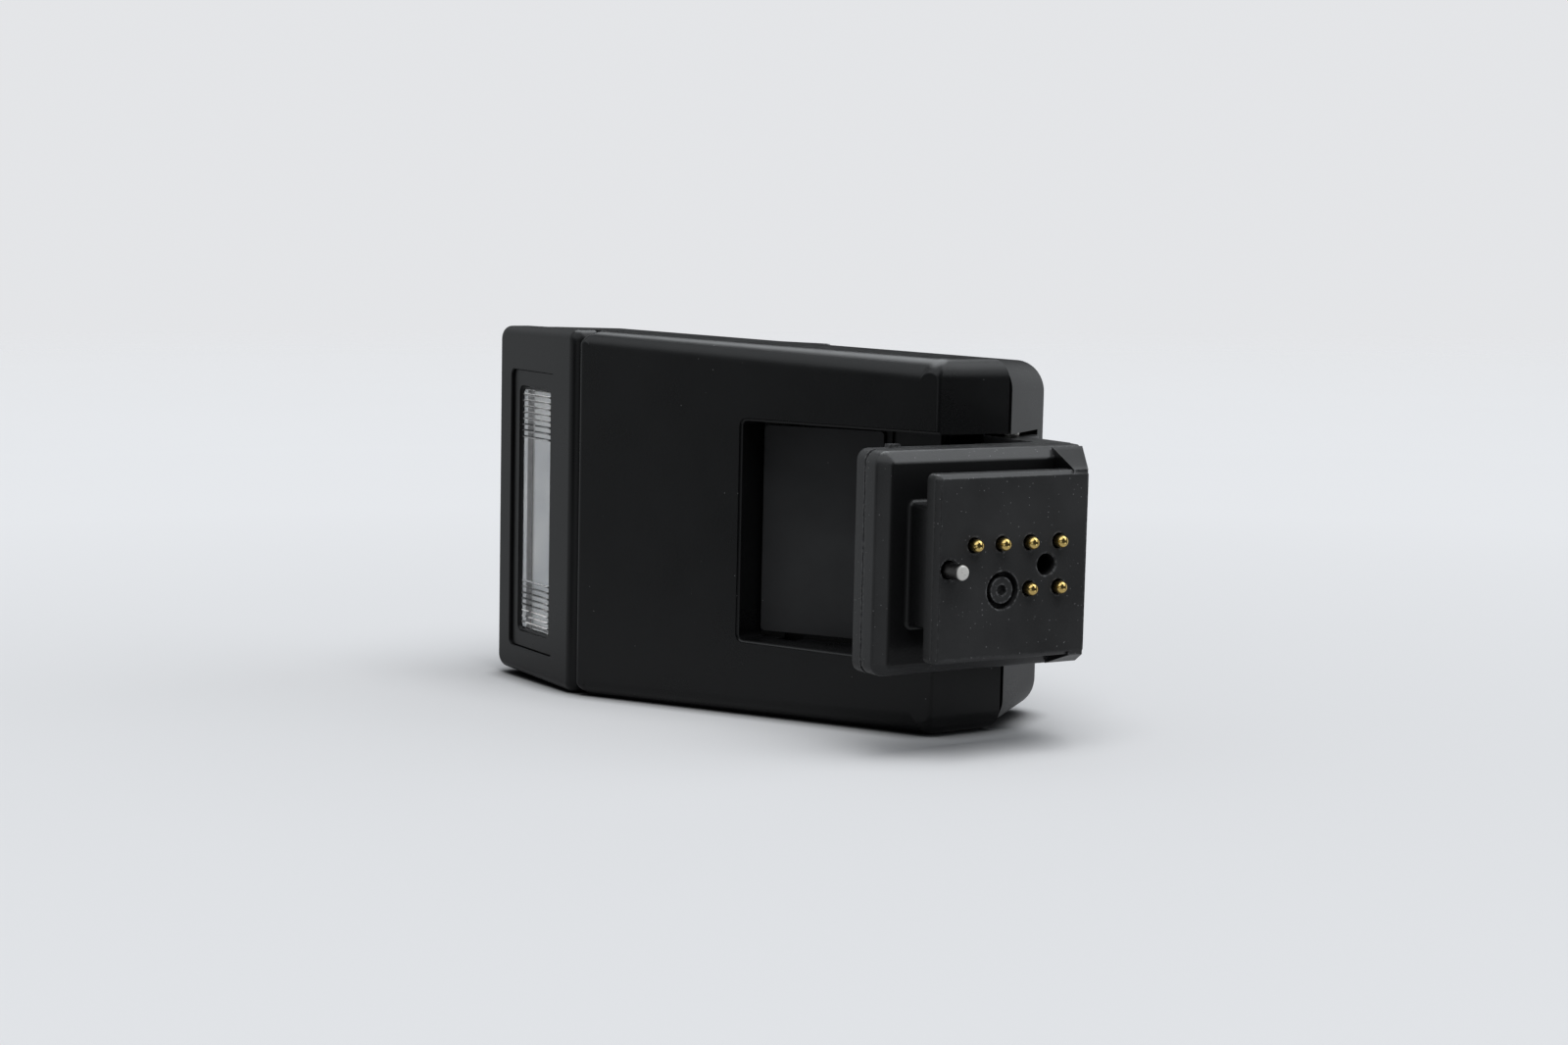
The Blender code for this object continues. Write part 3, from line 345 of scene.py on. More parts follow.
def face_loop(ends, half, corners, rounds, turn, depth=None, steps=10, widest=None):
    """One loop round a moulded front: at a turn of its rounded edge, or below it at a depth.

    Each pair gives the left and right end: ends as functions of depth, corners as radii, and rounds as
    the edge's radius at that end with the edge's radius along the sides next to it. The sides bend where
    the front is widest.
    """
    points = []
    for number in range(4):
        right = number in (0, 3)
        top = 1.0 if number < 2 else -1.0
        for k in range(steps + 1):
            angle = math.pi / 2 * (number + k / steps)
            along, across = math.cos(angle), math.sin(angle)
            at_end, at_side = rounds[right]
            radius = at_end * along ** 2 + at_side * across ** 2
            inset = radius * (1.0 - math.cos(turn)) if depth is None else 0.0
            y = radius * (1.0 - math.sin(turn)) if depth is None else depth
            corner = corners[right]
            middle = ends[right](y) - (corner if right else -corner)
            side = half(middle) - corner
            reach = corner - inset
            points.append((middle + reach * along, y, top * side + reach * across))
            if not right and widest is not None and abs(along) < CLOSE:
                bend = max(widest, middle + CLOSE)
                at = len(points) - 1 if number == 1 else len(points)
                points.insert(at, (bend, y, top * (half(bend) - inset)))
    return points


def add_opening(bm, xs, zs, corner, top, bottom, rim):
    """Add a cutter from above a face at depth top to a floor at depth bottom, with a rounded rim."""
    levels = [(rectangle(xs, zs, corner, rim), top - 1.0)]
    levels += [(rectangle(xs, zs, corner, rim - side), top + up - CLOSE) for side, up in quarter(rim)]
    levels.append((rectangle(xs, zs, corner), bottom))
    add_stack(bm, levels)


def add_panel(bm, xs, zs, corner, top, bottom, rim):
    """Add a flat piece between two depths, with the edge of its top rounded."""
    way = 1.0 if bottom > top else -1.0
    levels = [(rectangle(xs, zs, corner), bottom)]
    levels += [(rectangle(xs, zs, corner, -side), top + way * (rim - up)) for side, up in quarter(rim)]
    add_stack(bm, levels)


def add_prism(bm, outline, low, high):
    """Add a closed prism over an x, y outline, its z limits given as numbers or functions of x."""
    bottom = [bm.verts.new((x, y, low(x) if callable(low) else low)) for x, y in outline]
    top = [bm.verts.new((x, y, high(x) if callable(high) else high)) for x, y in outline]
    bm.faces.new(bottom[::-1])
    bm.faces.new(top)
    for i in range(len(outline)):
        j = (i + 1) % len(outline)
        bm.faces.new((bottom[i], bottom[j], top[j], top[i]))


def add_box(bm, xs, ys, zs):
    """Add a box from its three pairs of limits."""
    add_prism(bm, [(xs[0], ys[0]), (xs[1], ys[0]), (xs[1], ys[1]), (xs[0], ys[1])], zs[0], zs[1])


def add_body_slab(bm, outline, inset=0.0, draft=0.0):
    """Add a prism over an x, y outline, trimmed by the body's tapered sides or by planes inside them."""
    add_prism(bm, outline, -HALF_WIDTH - 1.0, HALF_WIDTH + 1.0)
    for side in (1.0, -1.0):
        for slope in (TAPER, -HEAD_TAPER):
            cut_along = bmesh.ops.bisect_plane(
                bm, geom=bm.verts[:] + bm.edges[:] + bm.faces[:], dist=0.0001,
                plane_co=(0.0, PARTING, side * (HALF_WIDTH - inset)), plane_no=(slope, draft, side),
                clear_outer=True)["geom_cut"]
            rim = [e for e in cut_along if isinstance(e, bmesh.types.BMEdge)]
            bmesh.ops.holes_fill(bm, edges=rim)


def add_turned(bm, profile, centre=(0.0, 0.0, 0.0), axis=(0.0, 1.0, 0.0), steps=48):
    """Add a solid of revolution; the profile lists (radius, along) from one end to the other.

    A profile that starts and ends off the axis is closed on itself, as a ring or a tube.
    """
    turn = UP.rotation_difference(Vector(axis)).to_matrix()
    place = Vector(centre)
    loops = []
    for radius, along in profile:
        angles = [2.0 * math.pi * k / steps for k in range(steps if radius > 0.0 else 1)]
        loops.append([bm.verts.new(place + turn @ Vector((radius * math.cos(a), radius * math.sin(a), along)))
                      for a in angles])
    pairs = list(zip(loops, loops[1:]))
    if profile[0][0] > 0.0 and profile[-1][0] > 0.0:
        pairs.append((loops[-1], loops[0]))
    for a, b in pairs:
        for k in range(steps):
            n = (k + 1) % steps
            ring = [a[k % len(a)], a[n % len(a)], b[n % len(b)], b[k % len(b)]]
            bm.faces.new(list(dict.fromkeys(ring)))


def add_bar(bm, low, high, end, steps=40):
    """Add a round bar along z that fills a box, with its ends rounded."""
    radius = (high.x - low.x) / 2
    profile = [(0.0, low.z)]
    profile += [(radius - end + up, low.z + side) for side, up in quarter(end)]
    profile += [(radius - end + up, high.z - side) for side, up in reversed(quarter(end))]
    profile.append((0.0, high.z))
    add_turned(bm, profile, ((low.x + high.x) / 2, (low.y + high.y) / 2, 0.0), UP, steps)


def round_edges(bm, test, radius, segments):
    """Round the edges whose two ends and middle all pass a test."""
    edges = []
    for edge in bm.edges:
        a, b = (v.co for v in edge.verts)
        if test(a) and test(b) and test((a + b) / 2):
            edges.append(edge)
    bmesh.ops.bevel(bm, geom=edges, offset=radius, offset_type="OFFSET", segments=segments,
                    profile=0.5, affect="EDGES", clamp_overlap=False)


def on_side(p):
    """True on the upper or lower tapered side of the body."""
    return abs(abs(p.z) - side_limit(p)) < CLOSE


def to_object(name, bm):
    """A linked object that holds a mesh, with its faces pointing out."""
    bmesh.ops.recalc_face_normals(bm, faces=bm.faces)
    mesh = bpy.data.meshes.new(name)
    bm.to_mesh(mesh)
    bm.free()
    obj = bpy.data.objects.new(name, mesh)
    bpy.context.scene.collection.objects.link(obj)
    return obj


def settle(obj):
    """Replace an object's mesh with its evaluated one and remove the modifiers."""
    depsgraph = bpy.context.evaluated_depsgraph_get()
    old = obj.data
    obj.data = bpy.data.meshes.new_from_object(obj.evaluated_get(depsgraph))
    obj.modifiers.clear()
    bpy.data.meshes.remove(old)
    return obj


def carve(obj, bm):
    """Cut geometry out of an object; bodies that overlap in either one count as joined."""
    cutter = to_object(obj.name + "_cutter", bm)
    modifier = obj.modifiers.new("cut", "BOOLEAN")
    modifier.operation = "DIFFERENCE"
    modifier.solver = "EXACT"
    modifier.use_self = True
    modifier.object = cutter
    settle(obj)
    mesh = cutter.data
    bpy.data.objects.remove(cutter)
    bpy.data.meshes.remove(mesh)


def dress(obj, place, finish, body, slot, *nodes, sharp=32.0):
    """Put a finished piece in the world, shade it, hang it under its body and hide the solids it stands for;
    the slot is not used.
    """
    mesh = obj.data
    mesh.transform(place)
    mesh.materials.clear()
    mesh.materials.append(finish)
    mesh.shade_smooth()
    mesh.set_sharp_from_angle(angle=math.radians(sharp))
    weigh = obj.modifiers.new("weigh", "WEIGHTED_NORMAL")
    weigh.mode = "FACE_AREA_WITH_ANGLE"
    weigh.keep_sharp = True
    settle(obj)
    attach(obj, body)
    if nodes:
        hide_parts(*nodes)
    return obj


# Repeated shapes


def new_nodes(name, inputs):
    """An empty geometry group with named inputs, and its two end nodes."""
    tree = bpy.data.node_groups.new(name, "GeometryNodeTree")
    tree.interface.new_socket("Geometry", in_out="INPUT", socket_type="NodeSocketGeometry")
    for label, kind in inputs:
        tree.interface.new_socket(label, in_out="INPUT", socket_type="NodeSocket" + kind)
    tree.interface.new_socket("Material", in_out="INPUT", socket_type="NodeSocketMaterial")
    tree.interface.new_socket("Geometry", in_out="OUTPUT", socket_type="NodeSocketGeometry")
    return tree, tree.nodes.new("NodeGroupInput").outputs, tree.nodes.new("NodeGroupOutput").inputs


def add_node(tree, kind, output, **inputs):
    """A geometry node with its inputs set or linked by name, as one of its outputs."""
    node = tree.nodes.new("GeometryNode" + kind)
    for label, source in inputs.items():
        wire(tree, source, node.inputs[label.replace("_", " ")])
    return node.outputs[output]


def moved(tree, geometry, shift=(0.0, 0.0, 0.0), turn=(0.0, 0.0, 0.0)):
    """Geometry moved and turned."""
    return add_node(tree, "Transform", "Geometry", Geometry=geometry, Translation=shift, Rotation=turn)


def combined(tree, operation, first, *others):
    """Solids joined, or the others cut from the first."""
    node = tree.nodes.new("GeometryNodeMeshBoolean")
    node.operation = operation
    node.solver = "EXACT"
    tree.links.new(first, node.inputs["Mesh 1" if operation == "DIFFERENCE" else "Mesh 2"])
    for other in others:
        tree.links.new(other, node.inputs["Mesh 2"])
    node.inputs["Self Intersection"].default_value = True
    return node.outputs["Mesh"]


def end_nodes(tree, geometry, start, end):
    """Close a geometry group: instances made real, and its material set."""
    real = add_node(tree, "RealizeInstances", "Geometry", Geometry=geometry)
    painted = add_node(tree, "SetMaterial", "Geometry", Geometry=real, Material=start["Material"])
    tree.links.new(painted, end["Geometry"])
    return tree


def run_nodes(obj, tree, **values):
    """Run a geometry group on an object with its inputs set, and keep the plain mesh."""
    modifier = obj.modifiers.new("repeat", "NODES")
    modifier.node_group = tree
    for item in tree.interface.items_tree:
        if item.in_out == "INPUT" and item.name in values:
            modifier[item.identifier] = values[item.name]
    return settle(obj)


def rib_nodes():
    """Prism ribs across both ends of a pane, joined to it."""
    tree, start, end = new_nodes("prism ribs", [
        ("Count", "Int"), ("Pitch", "Float"), ("Height", "Float"), ("Width", "Float"), ("Centre", "Vector"),
        ("Reach", "Float")])
    prism = add_node(tree, "MeshCylinder", "Mesh", Vertices=3, Radius=start["Height"], Depth=start["Width"])
    turn = Matrix.Rotation(math.pi / 2, 3, "Y") @ Matrix.Rotation(-math.pi / 2, 3, "Z")
    prism = moved(tree, prism, turn=turn.to_euler())
    rows = []
    for way in (1.0, -1.0):
        first = add_axes(tree, 0.0, 0.0, maths(tree, "MULTIPLY", start["Reach"], way))
        place = tree.nodes.new("ShaderNodeVectorMath")
        wire(tree, start["Centre"], place.inputs[0])
        wire(tree, first, place.inputs[1])
        offset = add_axes(tree, 0.0, 0.0, maths(tree, "MULTIPLY", start["Pitch"], -way))
        row = add_node(tree, "MeshLine", "Mesh", Count=start["Count"], Start_Location=place.outputs[0],
                       Offset=offset)
        placed = add_node(tree, "InstanceOnPoints", "Instances", Points=row, Instance=prism)
        rows.append(add_node(tree, "RealizeInstances", "Geometry", Geometry=placed))
    return end_nodes(tree, combined(tree, "UNION", start["Geometry"], *rows), start, end)


def add_axes(tree, x, y, z):
    """A vector from three values."""
    node = tree.nodes.new("ShaderNodeCombineXYZ")
    for socket, value in zip(node.inputs, (x, y, z)):
        wire(tree, value, socket)
    return node.outputs[0]


def grip_nodes():
    """Grooves cut round a turned knob whose axis is z."""
    tree, start, end = new_nodes("grip grooves", [
        ("Count", "Int"), ("Ring", "Float"), ("Groove", "Float"), ("Low", "Float"), ("High", "Float")])
    length = maths(tree, "SUBTRACT", start["High"], start["Low"])
    middle = maths(tree, "MULTIPLY", maths(tree, "ADD", start["High"], start["Low"]), 0.5)
    rod = add_node(tree, "MeshCylinder", "Mesh", Vertices=12, Radius=start["Groove"], Depth=length)
    rod = moved(tree, rod, add_axes(tree, 0.0, 0.0, middle))
    ring = add_node(tree, "MeshCircle", "Mesh", Vertices=start["Count"], Radius=start["Ring"])
    rods = add_node(tree, "InstanceOnPoints", "Instances", Points=ring, Instance=rod)
    rods = add_node(tree, "RealizeInstances", "Geometry", Geometry=rods)
    return end_nodes(tree, combined(tree, "DIFFERENCE", start["Geometry"], rods), start, end)


def screw_nodes():
    """Cross-head screws on points, their heads towards +y or, turned, -y."""
    tree, start, end = new_nodes("cross-head screws", [
        ("Head radius", "Float"), ("Head height", "Float"), ("Shank radius", "Float"), ("Length", "Float"),
        ("Turn", "Vector")])
    top = add_node(tree, "MeshCylinder", "Mesh", Vertices=40, Radius=start["Head radius"],
                   Depth=start["Head height"])
    top = moved(tree, top, add_axes(tree, 0.0, 0.0, maths(tree, "MULTIPLY", start["Head height"], -0.5)))
    arms = []
    long = maths(tree, "MULTIPLY", start["Head radius"], 1.2)
    thin = maths(tree, "MULTIPLY", start["Head radius"], 0.24)
    for size in ((long, thin, start["Head height"]), (thin, long, start["Head height"])):
        arms.append(add_node(tree, "MeshCube", "Mesh", Size=add_axes(tree, *size)))
    top = combined(tree, "DIFFERENCE", top, *arms)
    shank = add_node(tree, "MeshCylinder", "Mesh", Vertices=24, Radius=start["Shank radius"],
                     Depth=start["Length"])
    drop = maths(tree, "ADD", start["Head height"], maths(tree, "MULTIPLY", start["Length"], 0.48))
    shank = moved(tree, shank, add_axes(tree, 0.0, 0.0, maths(tree, "MULTIPLY", drop, -1.0)))
    screw = moved(tree, combined(tree, "UNION", top, shank), turn=start["Turn"])
    placed = add_node(tree, "InstanceOnPoints", "Instances", Points=start["Geometry"], Instance=screw)
    return end_nodes(tree, placed, start, end)


# Finishes


def new_group(name, inputs, outputs):
    """An empty shader group with named sockets, and its two end nodes."""
    group = bpy.data.node_groups.new(name, "ShaderNodeTree")
    for label, kind, value in inputs:
        socket = group.interface.new_socket(label, in_out="INPUT", socket_type=kind)
        if value is not None:
            socket.default_value = value
    for label, kind in outputs:
        group.interface.new_socket(label, in_out="OUTPUT", socket_type=kind)
    return group, group.nodes.new("NodeGroupInput"), group.nodes.new("NodeGroupOutput")


def wire(tree, source, target):
    """Link an output to an input, or set the input where the source is a plain value."""
    if isinstance(source, bpy.types.NodeSocket):
        tree.links.new(source, target)
    else:
        target.default_value = source


def maths(tree, operation, *values, clamp=False):
    """A Math node's output."""
    node = tree.nodes.new("ShaderNodeMath")
    node.operation = operation
    node.use_clamp = clamp
    for socket, value in zip(node.inputs, values):
        wire(tree, value, socket)
    return node.outputs[0]


def mapped(tree, value, from_low, from_high, to_low, to_high):
    """A Map Range node's output."""
    node = tree.nodes.new("ShaderNodeMapRange")
    for socket, source in zip(node.inputs, (value, from_low, from_high, to_low, to_high)):
        wire(tree, source, socket)
    return node.outputs[0]


def noise(tree, vector, scale, detail=2.0):
    """A Noise texture's value."""
    node = tree.nodes.new("ShaderNodeTexNoise")
    node.inputs["Detail"].default_value = detail
    wire(tree, vector, node.inputs["Vector"])
    wire(tree, scale, node.inputs["Scale"])
    return node.outputs["Fac"]


def mixed(tree, factor, a, b):
    """A colour mixed between two."""
    node = tree.nodes.new("ShaderNodeMix")
    node.data_type = "RGBA"
    wire(tree, factor, node.inputs["Factor"])
    wire(tree, a, node.inputs["A"])
    wire(tree, b, node.inputs["B"])
    return node.outputs["Result"]


def grain_group():
    """Spark-eroded mould grain: a height, a slow tone and sparse bright specks."""
    name = "mould grain"
    if name in bpy.data.node_groups:
        return bpy.data.node_groups[name]
    group, start, end = new_group(
        name,
        [("Vector", "NodeSocketVector", None), ("Grain", "NodeSocketFloat", 7000.0),
         ("Speck", "NodeSocketFloat", 5200.0), ("Share", "NodeSocketFloat", 0.02)],
        [("Height", "NodeSocketFloat"), ("Tone", "NodeSocketFloat"), ("Specks", "NodeSocketFloat")])
    vector = start.outputs["Vector"]
    fine = noise(group, vector, start.outputs["Grain"], 3.0)
    coarse = noise(group, vector, maths(group, "MULTIPLY", start.outputs["Grain"], 0.31), 1.0)
    group.links.new(maths(group, "ADD", maths(group, "MULTIPLY", fine, 0.65),
                          maths(group, "MULTIPLY", coarse, 0.35)), end.inputs["Height"])
    group.links.new(noise(group, vector, 140.0, 4.0), end.inputs["Tone"])
    cells = group.nodes.new("ShaderNodeTexVoronoi")
    wire(group, vector, cells.inputs["Vector"])
    wire(group, start.outputs["Speck"], cells.inputs["Scale"])
    chance = group.nodes.new("ShaderNodeSeparateColor")
    wire(group, cells.outputs["Color"], chance.inputs["Color"])
    chosen = maths(group, "LESS_THAN", chance.outputs["Red"], start.outputs["Share"])
    inside = mapped(group, cells.outputs["Distance"], 0.1, 0.32, 1.0, 0.0)
    group.links.new(maths(group, "MULTIPLY", chosen, inside), end.inputs["Specks"])
    return group


def wear_group():
    """Mask of rubbed convex edges, broken up by noise."""
    name = "rubbed edges"
    if name in bpy.data.node_groups:
        return bpy.data.node_groups[name]
    group, start, end = new_group(
        name,
        [("Vector", "NodeSocketVector", None), ("Radius", "NodeSocketFloat", 0.00015),
         ("Scale", "NodeSocketFloat", 2500.0), ("Amount", "NodeSocketFloat", 1.0)],
        [("Mask", "NodeSocketFloat")])
    bevel = group.nodes.new("ShaderNodeBevel")
    bevel.samples = 6
    wire(group, start.outputs["Radius"], bevel.inputs["Radius"])
    geometry = group.nodes.new("ShaderNodeNewGeometry")
    dot = group.nodes.new("ShaderNodeVectorMath")
    dot.operation = "DOT_PRODUCT"
    wire(group, bevel.outputs["Normal"], dot.inputs[0])
    wire(group, geometry.outputs["Normal"], dot.inputs[1])
    edge = mapped(group, dot.outputs["Value"], 0.985, 0.9, 0.0, 1.0)
    patchy = noise(group, start.outputs["Vector"], start.outputs["Scale"], 3.0)
    broken = maths(group, "MULTIPLY", edge, mapped(group, patchy, 0.42, 0.62, 0.0, 1.0))
    mask = maths(group, "MULTIPLY", broken, start.outputs["Amount"], clamp=True)
    group.links.new(mask, end.inputs["Mask"])
    return group


def new_material(name):
    """A node material with its tree, its shader and its Object coordinates."""
    made = bpy.data.materials.new(name)
    made.use_nodes = True
    tree = made.node_tree
    place = tree.nodes.new("ShaderNodeTexCoord")
    return made, tree, tree.nodes["Principled BSDF"], place.outputs["Object"]


def use_group(tree, group, vector, **values):
    """A group node with its inputs set by name."""
    node = tree.nodes.new("ShaderNodeGroup")
    node.node_tree = group
    wire(tree, vector, node.inputs["Vector"])
    for label, value in values.items():
        wire(tree, value, node.inputs[label])
    return node


def add_bump(tree, shader, height, distance, strength=1.0):
    """Feed a height to a shader's normal."""
    bump = tree.nodes.new("ShaderNodeBump")
    bump.inputs["Strength"].default_value = strength
    bump.inputs["Distance"].default_value = distance
    wire(tree, height, bump.inputs["Height"])
    tree.links.new(bump.outputs["Normal"], shader.inputs["Normal"])


def rgba(colour, gain=1.0):
    """A colour with full alpha, brightened by a factor."""
    return (*[min(1.0, c * gain) for c in colour], 1.0)


def plastic(name, colour, roughness, specular, grain, depth, share=0.0, wear=0.0):
    """Moulded plastic: grain, slow changes of tone, specks of dust and rubbed edges."""
    if name in bpy.data.materials:
        return bpy.data.materials[name]
    made, tree, shader, vector = new_material(name)
    group = use_group(tree, grain_group(), vector, Grain=grain, Share=share)
    height, tone, specks = (group.outputs[k] for k in ("Height", "Tone", "Specks"))
    base = mixed(tree, mapped(tree, tone, 0.3, 0.7, 0.0, 1.0), rgba(colour, 0.8), rgba(colour, 1.25))
    if share > 0.0:
        base = mixed(tree, maths(tree, "MULTIPLY", specks, 0.75), base, (0.42, 0.42, 0.43, 1.0))
    if wear > 0.0:
        edges = use_group(tree, wear_group(), vector, Amount=wear, Radius=0.0004)
        base = mixed(tree, edges.outputs["Mask"], base, rgba(colour, 7.0))
    wire(tree, base, shader.inputs["Base Color"])
    rough = mapped(tree, maths(tree, "ADD", tone, maths(tree, "MULTIPLY", height, 0.5)),
                   0.45, 1.1, roughness - 0.05, roughness + 0.06)
    wire(tree, rough, shader.inputs["Roughness"])
    shader.inputs["Specular IOR Level"].default_value = specular
    add_bump(tree, shader, height, depth)
    return made


def metal(name, colour, roughness, scale=900.0):
    """Plated metal with a fine grain and slight changes of tone."""
    if name in bpy.data.materials:
        return bpy.data.materials[name]
    made, tree, shader, vector = new_material(name)
    group = use_group(tree, grain_group(), vector, Grain=scale * 6.0, Share=0.0)
    tone = mapped(tree, group.outputs["Tone"], 0.3, 0.7, 0.0, 1.0)
    wire(tree, mixed(tree, tone, rgba(colour, 0.9), rgba(colour, 1.05)), shader.inputs["Base Color"])
    shader.inputs["Metallic"].default_value = 1.0
    wire(tree, mapped(tree, group.outputs["Height"], 0.3, 0.7, roughness * 0.75, roughness * 1.35),
         shader.inputs["Roughness"])
    add_bump(tree, shader, group.outputs["Height"], 0.000004)
    return made


def housing_plastic():
    """Satin black of the front housing."""
    return plastic("housing plastic", colours().housing, 0.3, 0.4, 6500.0, 0.000012, 0.0012)


def shell_plastic():
    """Satin black of the rear shell."""
    return plastic("shell plastic", colours().shell, 0.3, 0.42, 6500.0, 0.000006, 0.0012)


def bezel_plastic():
    """Smoother black of the flash head."""
    return plastic("bezel plastic", colours().shell, 0.3, 0.28, 6500.0, 0.000005, 0.0008)


def foot_plastic():
    """Grainy glass-filled black of the foot's arm."""
    return foot_black("foot plastic")


def foot_black(name):
    """Glass-filled black with pale specks and rubbed edges."""
    return plastic(name, colours().foot, 0.32, 0.42, 5200.0, 0.00002, 0.03, 0.7)


def foot_depth(tree):
    """Depth below the face of the shoe plate, in millimetres."""
    inward = (FOOT.to_3x3() @ Vector((0.0, 1.0, 0.0))).normalized()
    depth = tree.nodes.new("ShaderNodeVectorMath")
    depth.operation = "DOT_PRODUCT"
    wire(tree, tree.nodes["Texture Coordinate"].outputs["Object"], depth.inputs[0])
    depth.inputs[1].default_value = inward
    face = inward.dot(FOOT.translation)
    return mapped(tree, depth.outputs["Value"], face - 5.0 * MM, face + 15.0 * MM, -5.0, 15.0)


def shoe_plastic():
    """The foot's black on the shoe, with painted shade: below the plate's face, from its bevel down to the
    shoulder, the colour is darkened to the shell's black where the plate shades it.
    """
    name = "shoe plastic"
    if name in bpy.data.materials:
        return bpy.data.materials[name]
    made = foot_black(name)
    tree = made.node_tree
    colour = tree.nodes["Principled BSDF"].inputs["Base Color"]
    depth = foot_depth(tree)
    # painted shade: darkens everything from just under the plate's face down to the shoulder, the parts that
    # the plate shades
    painted_shade_band = maths(tree, "MULTIPLY", mapped(tree, depth, 0.4, 0.9, 0.0, 1.0),
                 mapped(tree, depth, SHOULDER + 0.03, SHOULDER + 0.2, 1.0, 0.0))
    wire(tree, mixed(tree, painted_shade_band, colour.links[0].from_socket, rgba(colours().shell)), colour)
    return made


def key_plastic():
    """Fine black of the dial and the keys."""
    return plastic("key plastic", colours().shell, 0.45, 0.4, 9000.0, 0.000008, 0.0008)


def label_film():
    """Matt film of the recess label."""
    return plastic("label film", colours().label, 0.5, 0.4, 9000.0, 0.000004, 0.0008)


def gold_plate():
    """Gold of the contacts, darkened below the dome of each as painted shade and painted reflection of the
    dark hole round it.
    """
    name = "gold plate"
    if name in bpy.data.materials:
        return bpy.data.materials[name]
    made = metal(name, colours().gold, 0.03, 300.0)
    tree = made.node_tree
    colour = tree.nodes["Principled BSDF"].inputs["Base Color"]
    dome = extent("contact_pin_1", FOOT)[0].y + 0.9
    # painted shade: the gold is darkened to a quarter below the dome, where the hole shades it and the dark
    # plate is reflected
    painted_shade_below_dome = mapped(tree, foot_depth(tree), dome - 0.15, dome + 0.1, 0.0, 1.0)
    wire(tree, mixed(tree, painted_shade_below_dome, colour.links[0].from_socket, rgba(colours().gold, 0.25)), colour)
    return made


def nickel_plate():
    """Nickel of the hinge pin, the screws and the tube's caps."""
    return metal("nickel plate", colours().nickel, 0.14)


def pin_steel():
    """Darkened steel of the lock pin, with its end ground bright and satin."""
    name = "pin steel"
    if name in bpy.data.materials:
        return bpy.data.materials[name]
    made = metal(name, (0.08, 0.077, 0.075), 0.3)
    tree = made.node_tree
    shader = tree.nodes["Principled BSDF"]
    tip = extent("lock_pin", FOOT)[0].y
    ground = mapped(tree, foot_depth(tree), tip + 0.03, tip + 0.12, 1.0, 0.0)
    colour = shader.inputs["Base Color"]
    wire(tree, mixed(tree, ground, colour.links[0].from_socket, (0.80, 0.79, 0.76, 1.0)), colour)
    wire(tree, mapped(tree, ground, 0.0, 1.0, 1.0, 0.25), shader.inputs["Metallic"])
    return made


def brass_tube():
    """Brass of the contact tubes."""
    return metal("brass tube", (0.7, 0.5, 0.22), 0.32)


def tin_sheet():
    """Tinned sheet of the socket, the switches and the radio can."""
    return metal("tin sheet", (0.66, 0.66, 0.67), 0.3)


def mirror_sheet():
    """Bright satin sheet of the reflector, in brighter and duller patches."""
    made = metal("mirror sheet", (0.92, 0.93, 0.94), 0.35, 300.0)
    tree = made.node_tree
    shader = tree.nodes["Principled BSDF"]
    shader.inputs["Metallic"].default_value = 0.3
    dull, bright = (0.8, 0.82, 0.85, 1.0), (1.0, 1.0, 1.0, 1.0)
    patchy = noise(tree, tree.nodes["Texture Coordinate"].outputs["Object"], 170.0, 1.0)
    patches = mapped(tree, patchy, 0.4, 0.6, 0.0, 1.0)
    wire(tree, mixed(tree, patches, dull, bright), shader.inputs["Base Color"])
    return made


def clear_plastic():
    """Clear moulding of the window and glass of the tube, with faint clouding."""
    name = "clear plastic"
    if name in bpy.data.materials:
        return bpy.data.materials[name]
    made, tree, shader, vector = new_material(name)
    group = use_group(tree, grain_group(), vector, Grain=2200.0, Share=0.0)
    wire(tree, mixed(tree, group.outputs["Tone"], (0.93, 0.95, 0.96, 1.0), (0.98, 0.99, 1.0, 1.0)),
         shader.inputs["Base Color"])
    wire(tree, mapped(tree, group.outputs["Height"], 0.3, 0.7, 0.03, 0.12), shader.inputs["Roughness"])
    shader.inputs["IOR"].default_value = 1.4
    shader.inputs["Transmission Weight"].default_value = 1.0
    return made


def dark_glass():
    """Smoked cover glass, with a faint panel behind it and light smears."""
    name = "dark glass"
    if name in bpy.data.materials:
        return bpy.data.materials[name]
    made, tree, shader, vector = new_material(name)
    group = use_group(tree, grain_group(), vector, Grain=400.0, Share=0.0)
    low, high = extent("display_module", BODY)
    split = tree.nodes.new("ShaderNodeSeparateXYZ")
    wire(tree, vector, split.inputs["Vector"])
    corners = [BODY @ low, BODY @ high]
    inside = 1.0
    for axis in (0, 2):
        for test, corner in zip(("GREATER_THAN", "LESS_THAN"), corners):
            inside = maths(tree, "MULTIPLY", inside, maths(tree, test, split.outputs[axis], corner[axis]))
    border, screen = (0.004, 0.004, 0.005, 1.0), (0.012, 0.015, 0.014, 1.0)
    wire(tree, mixed(tree, inside, border, screen), shader.inputs["Base Color"])
    wire(tree, mapped(tree, group.outputs["Height"], 0.35, 0.65, 0.04, 0.11), shader.inputs["Roughness"])
    return made


# Operators


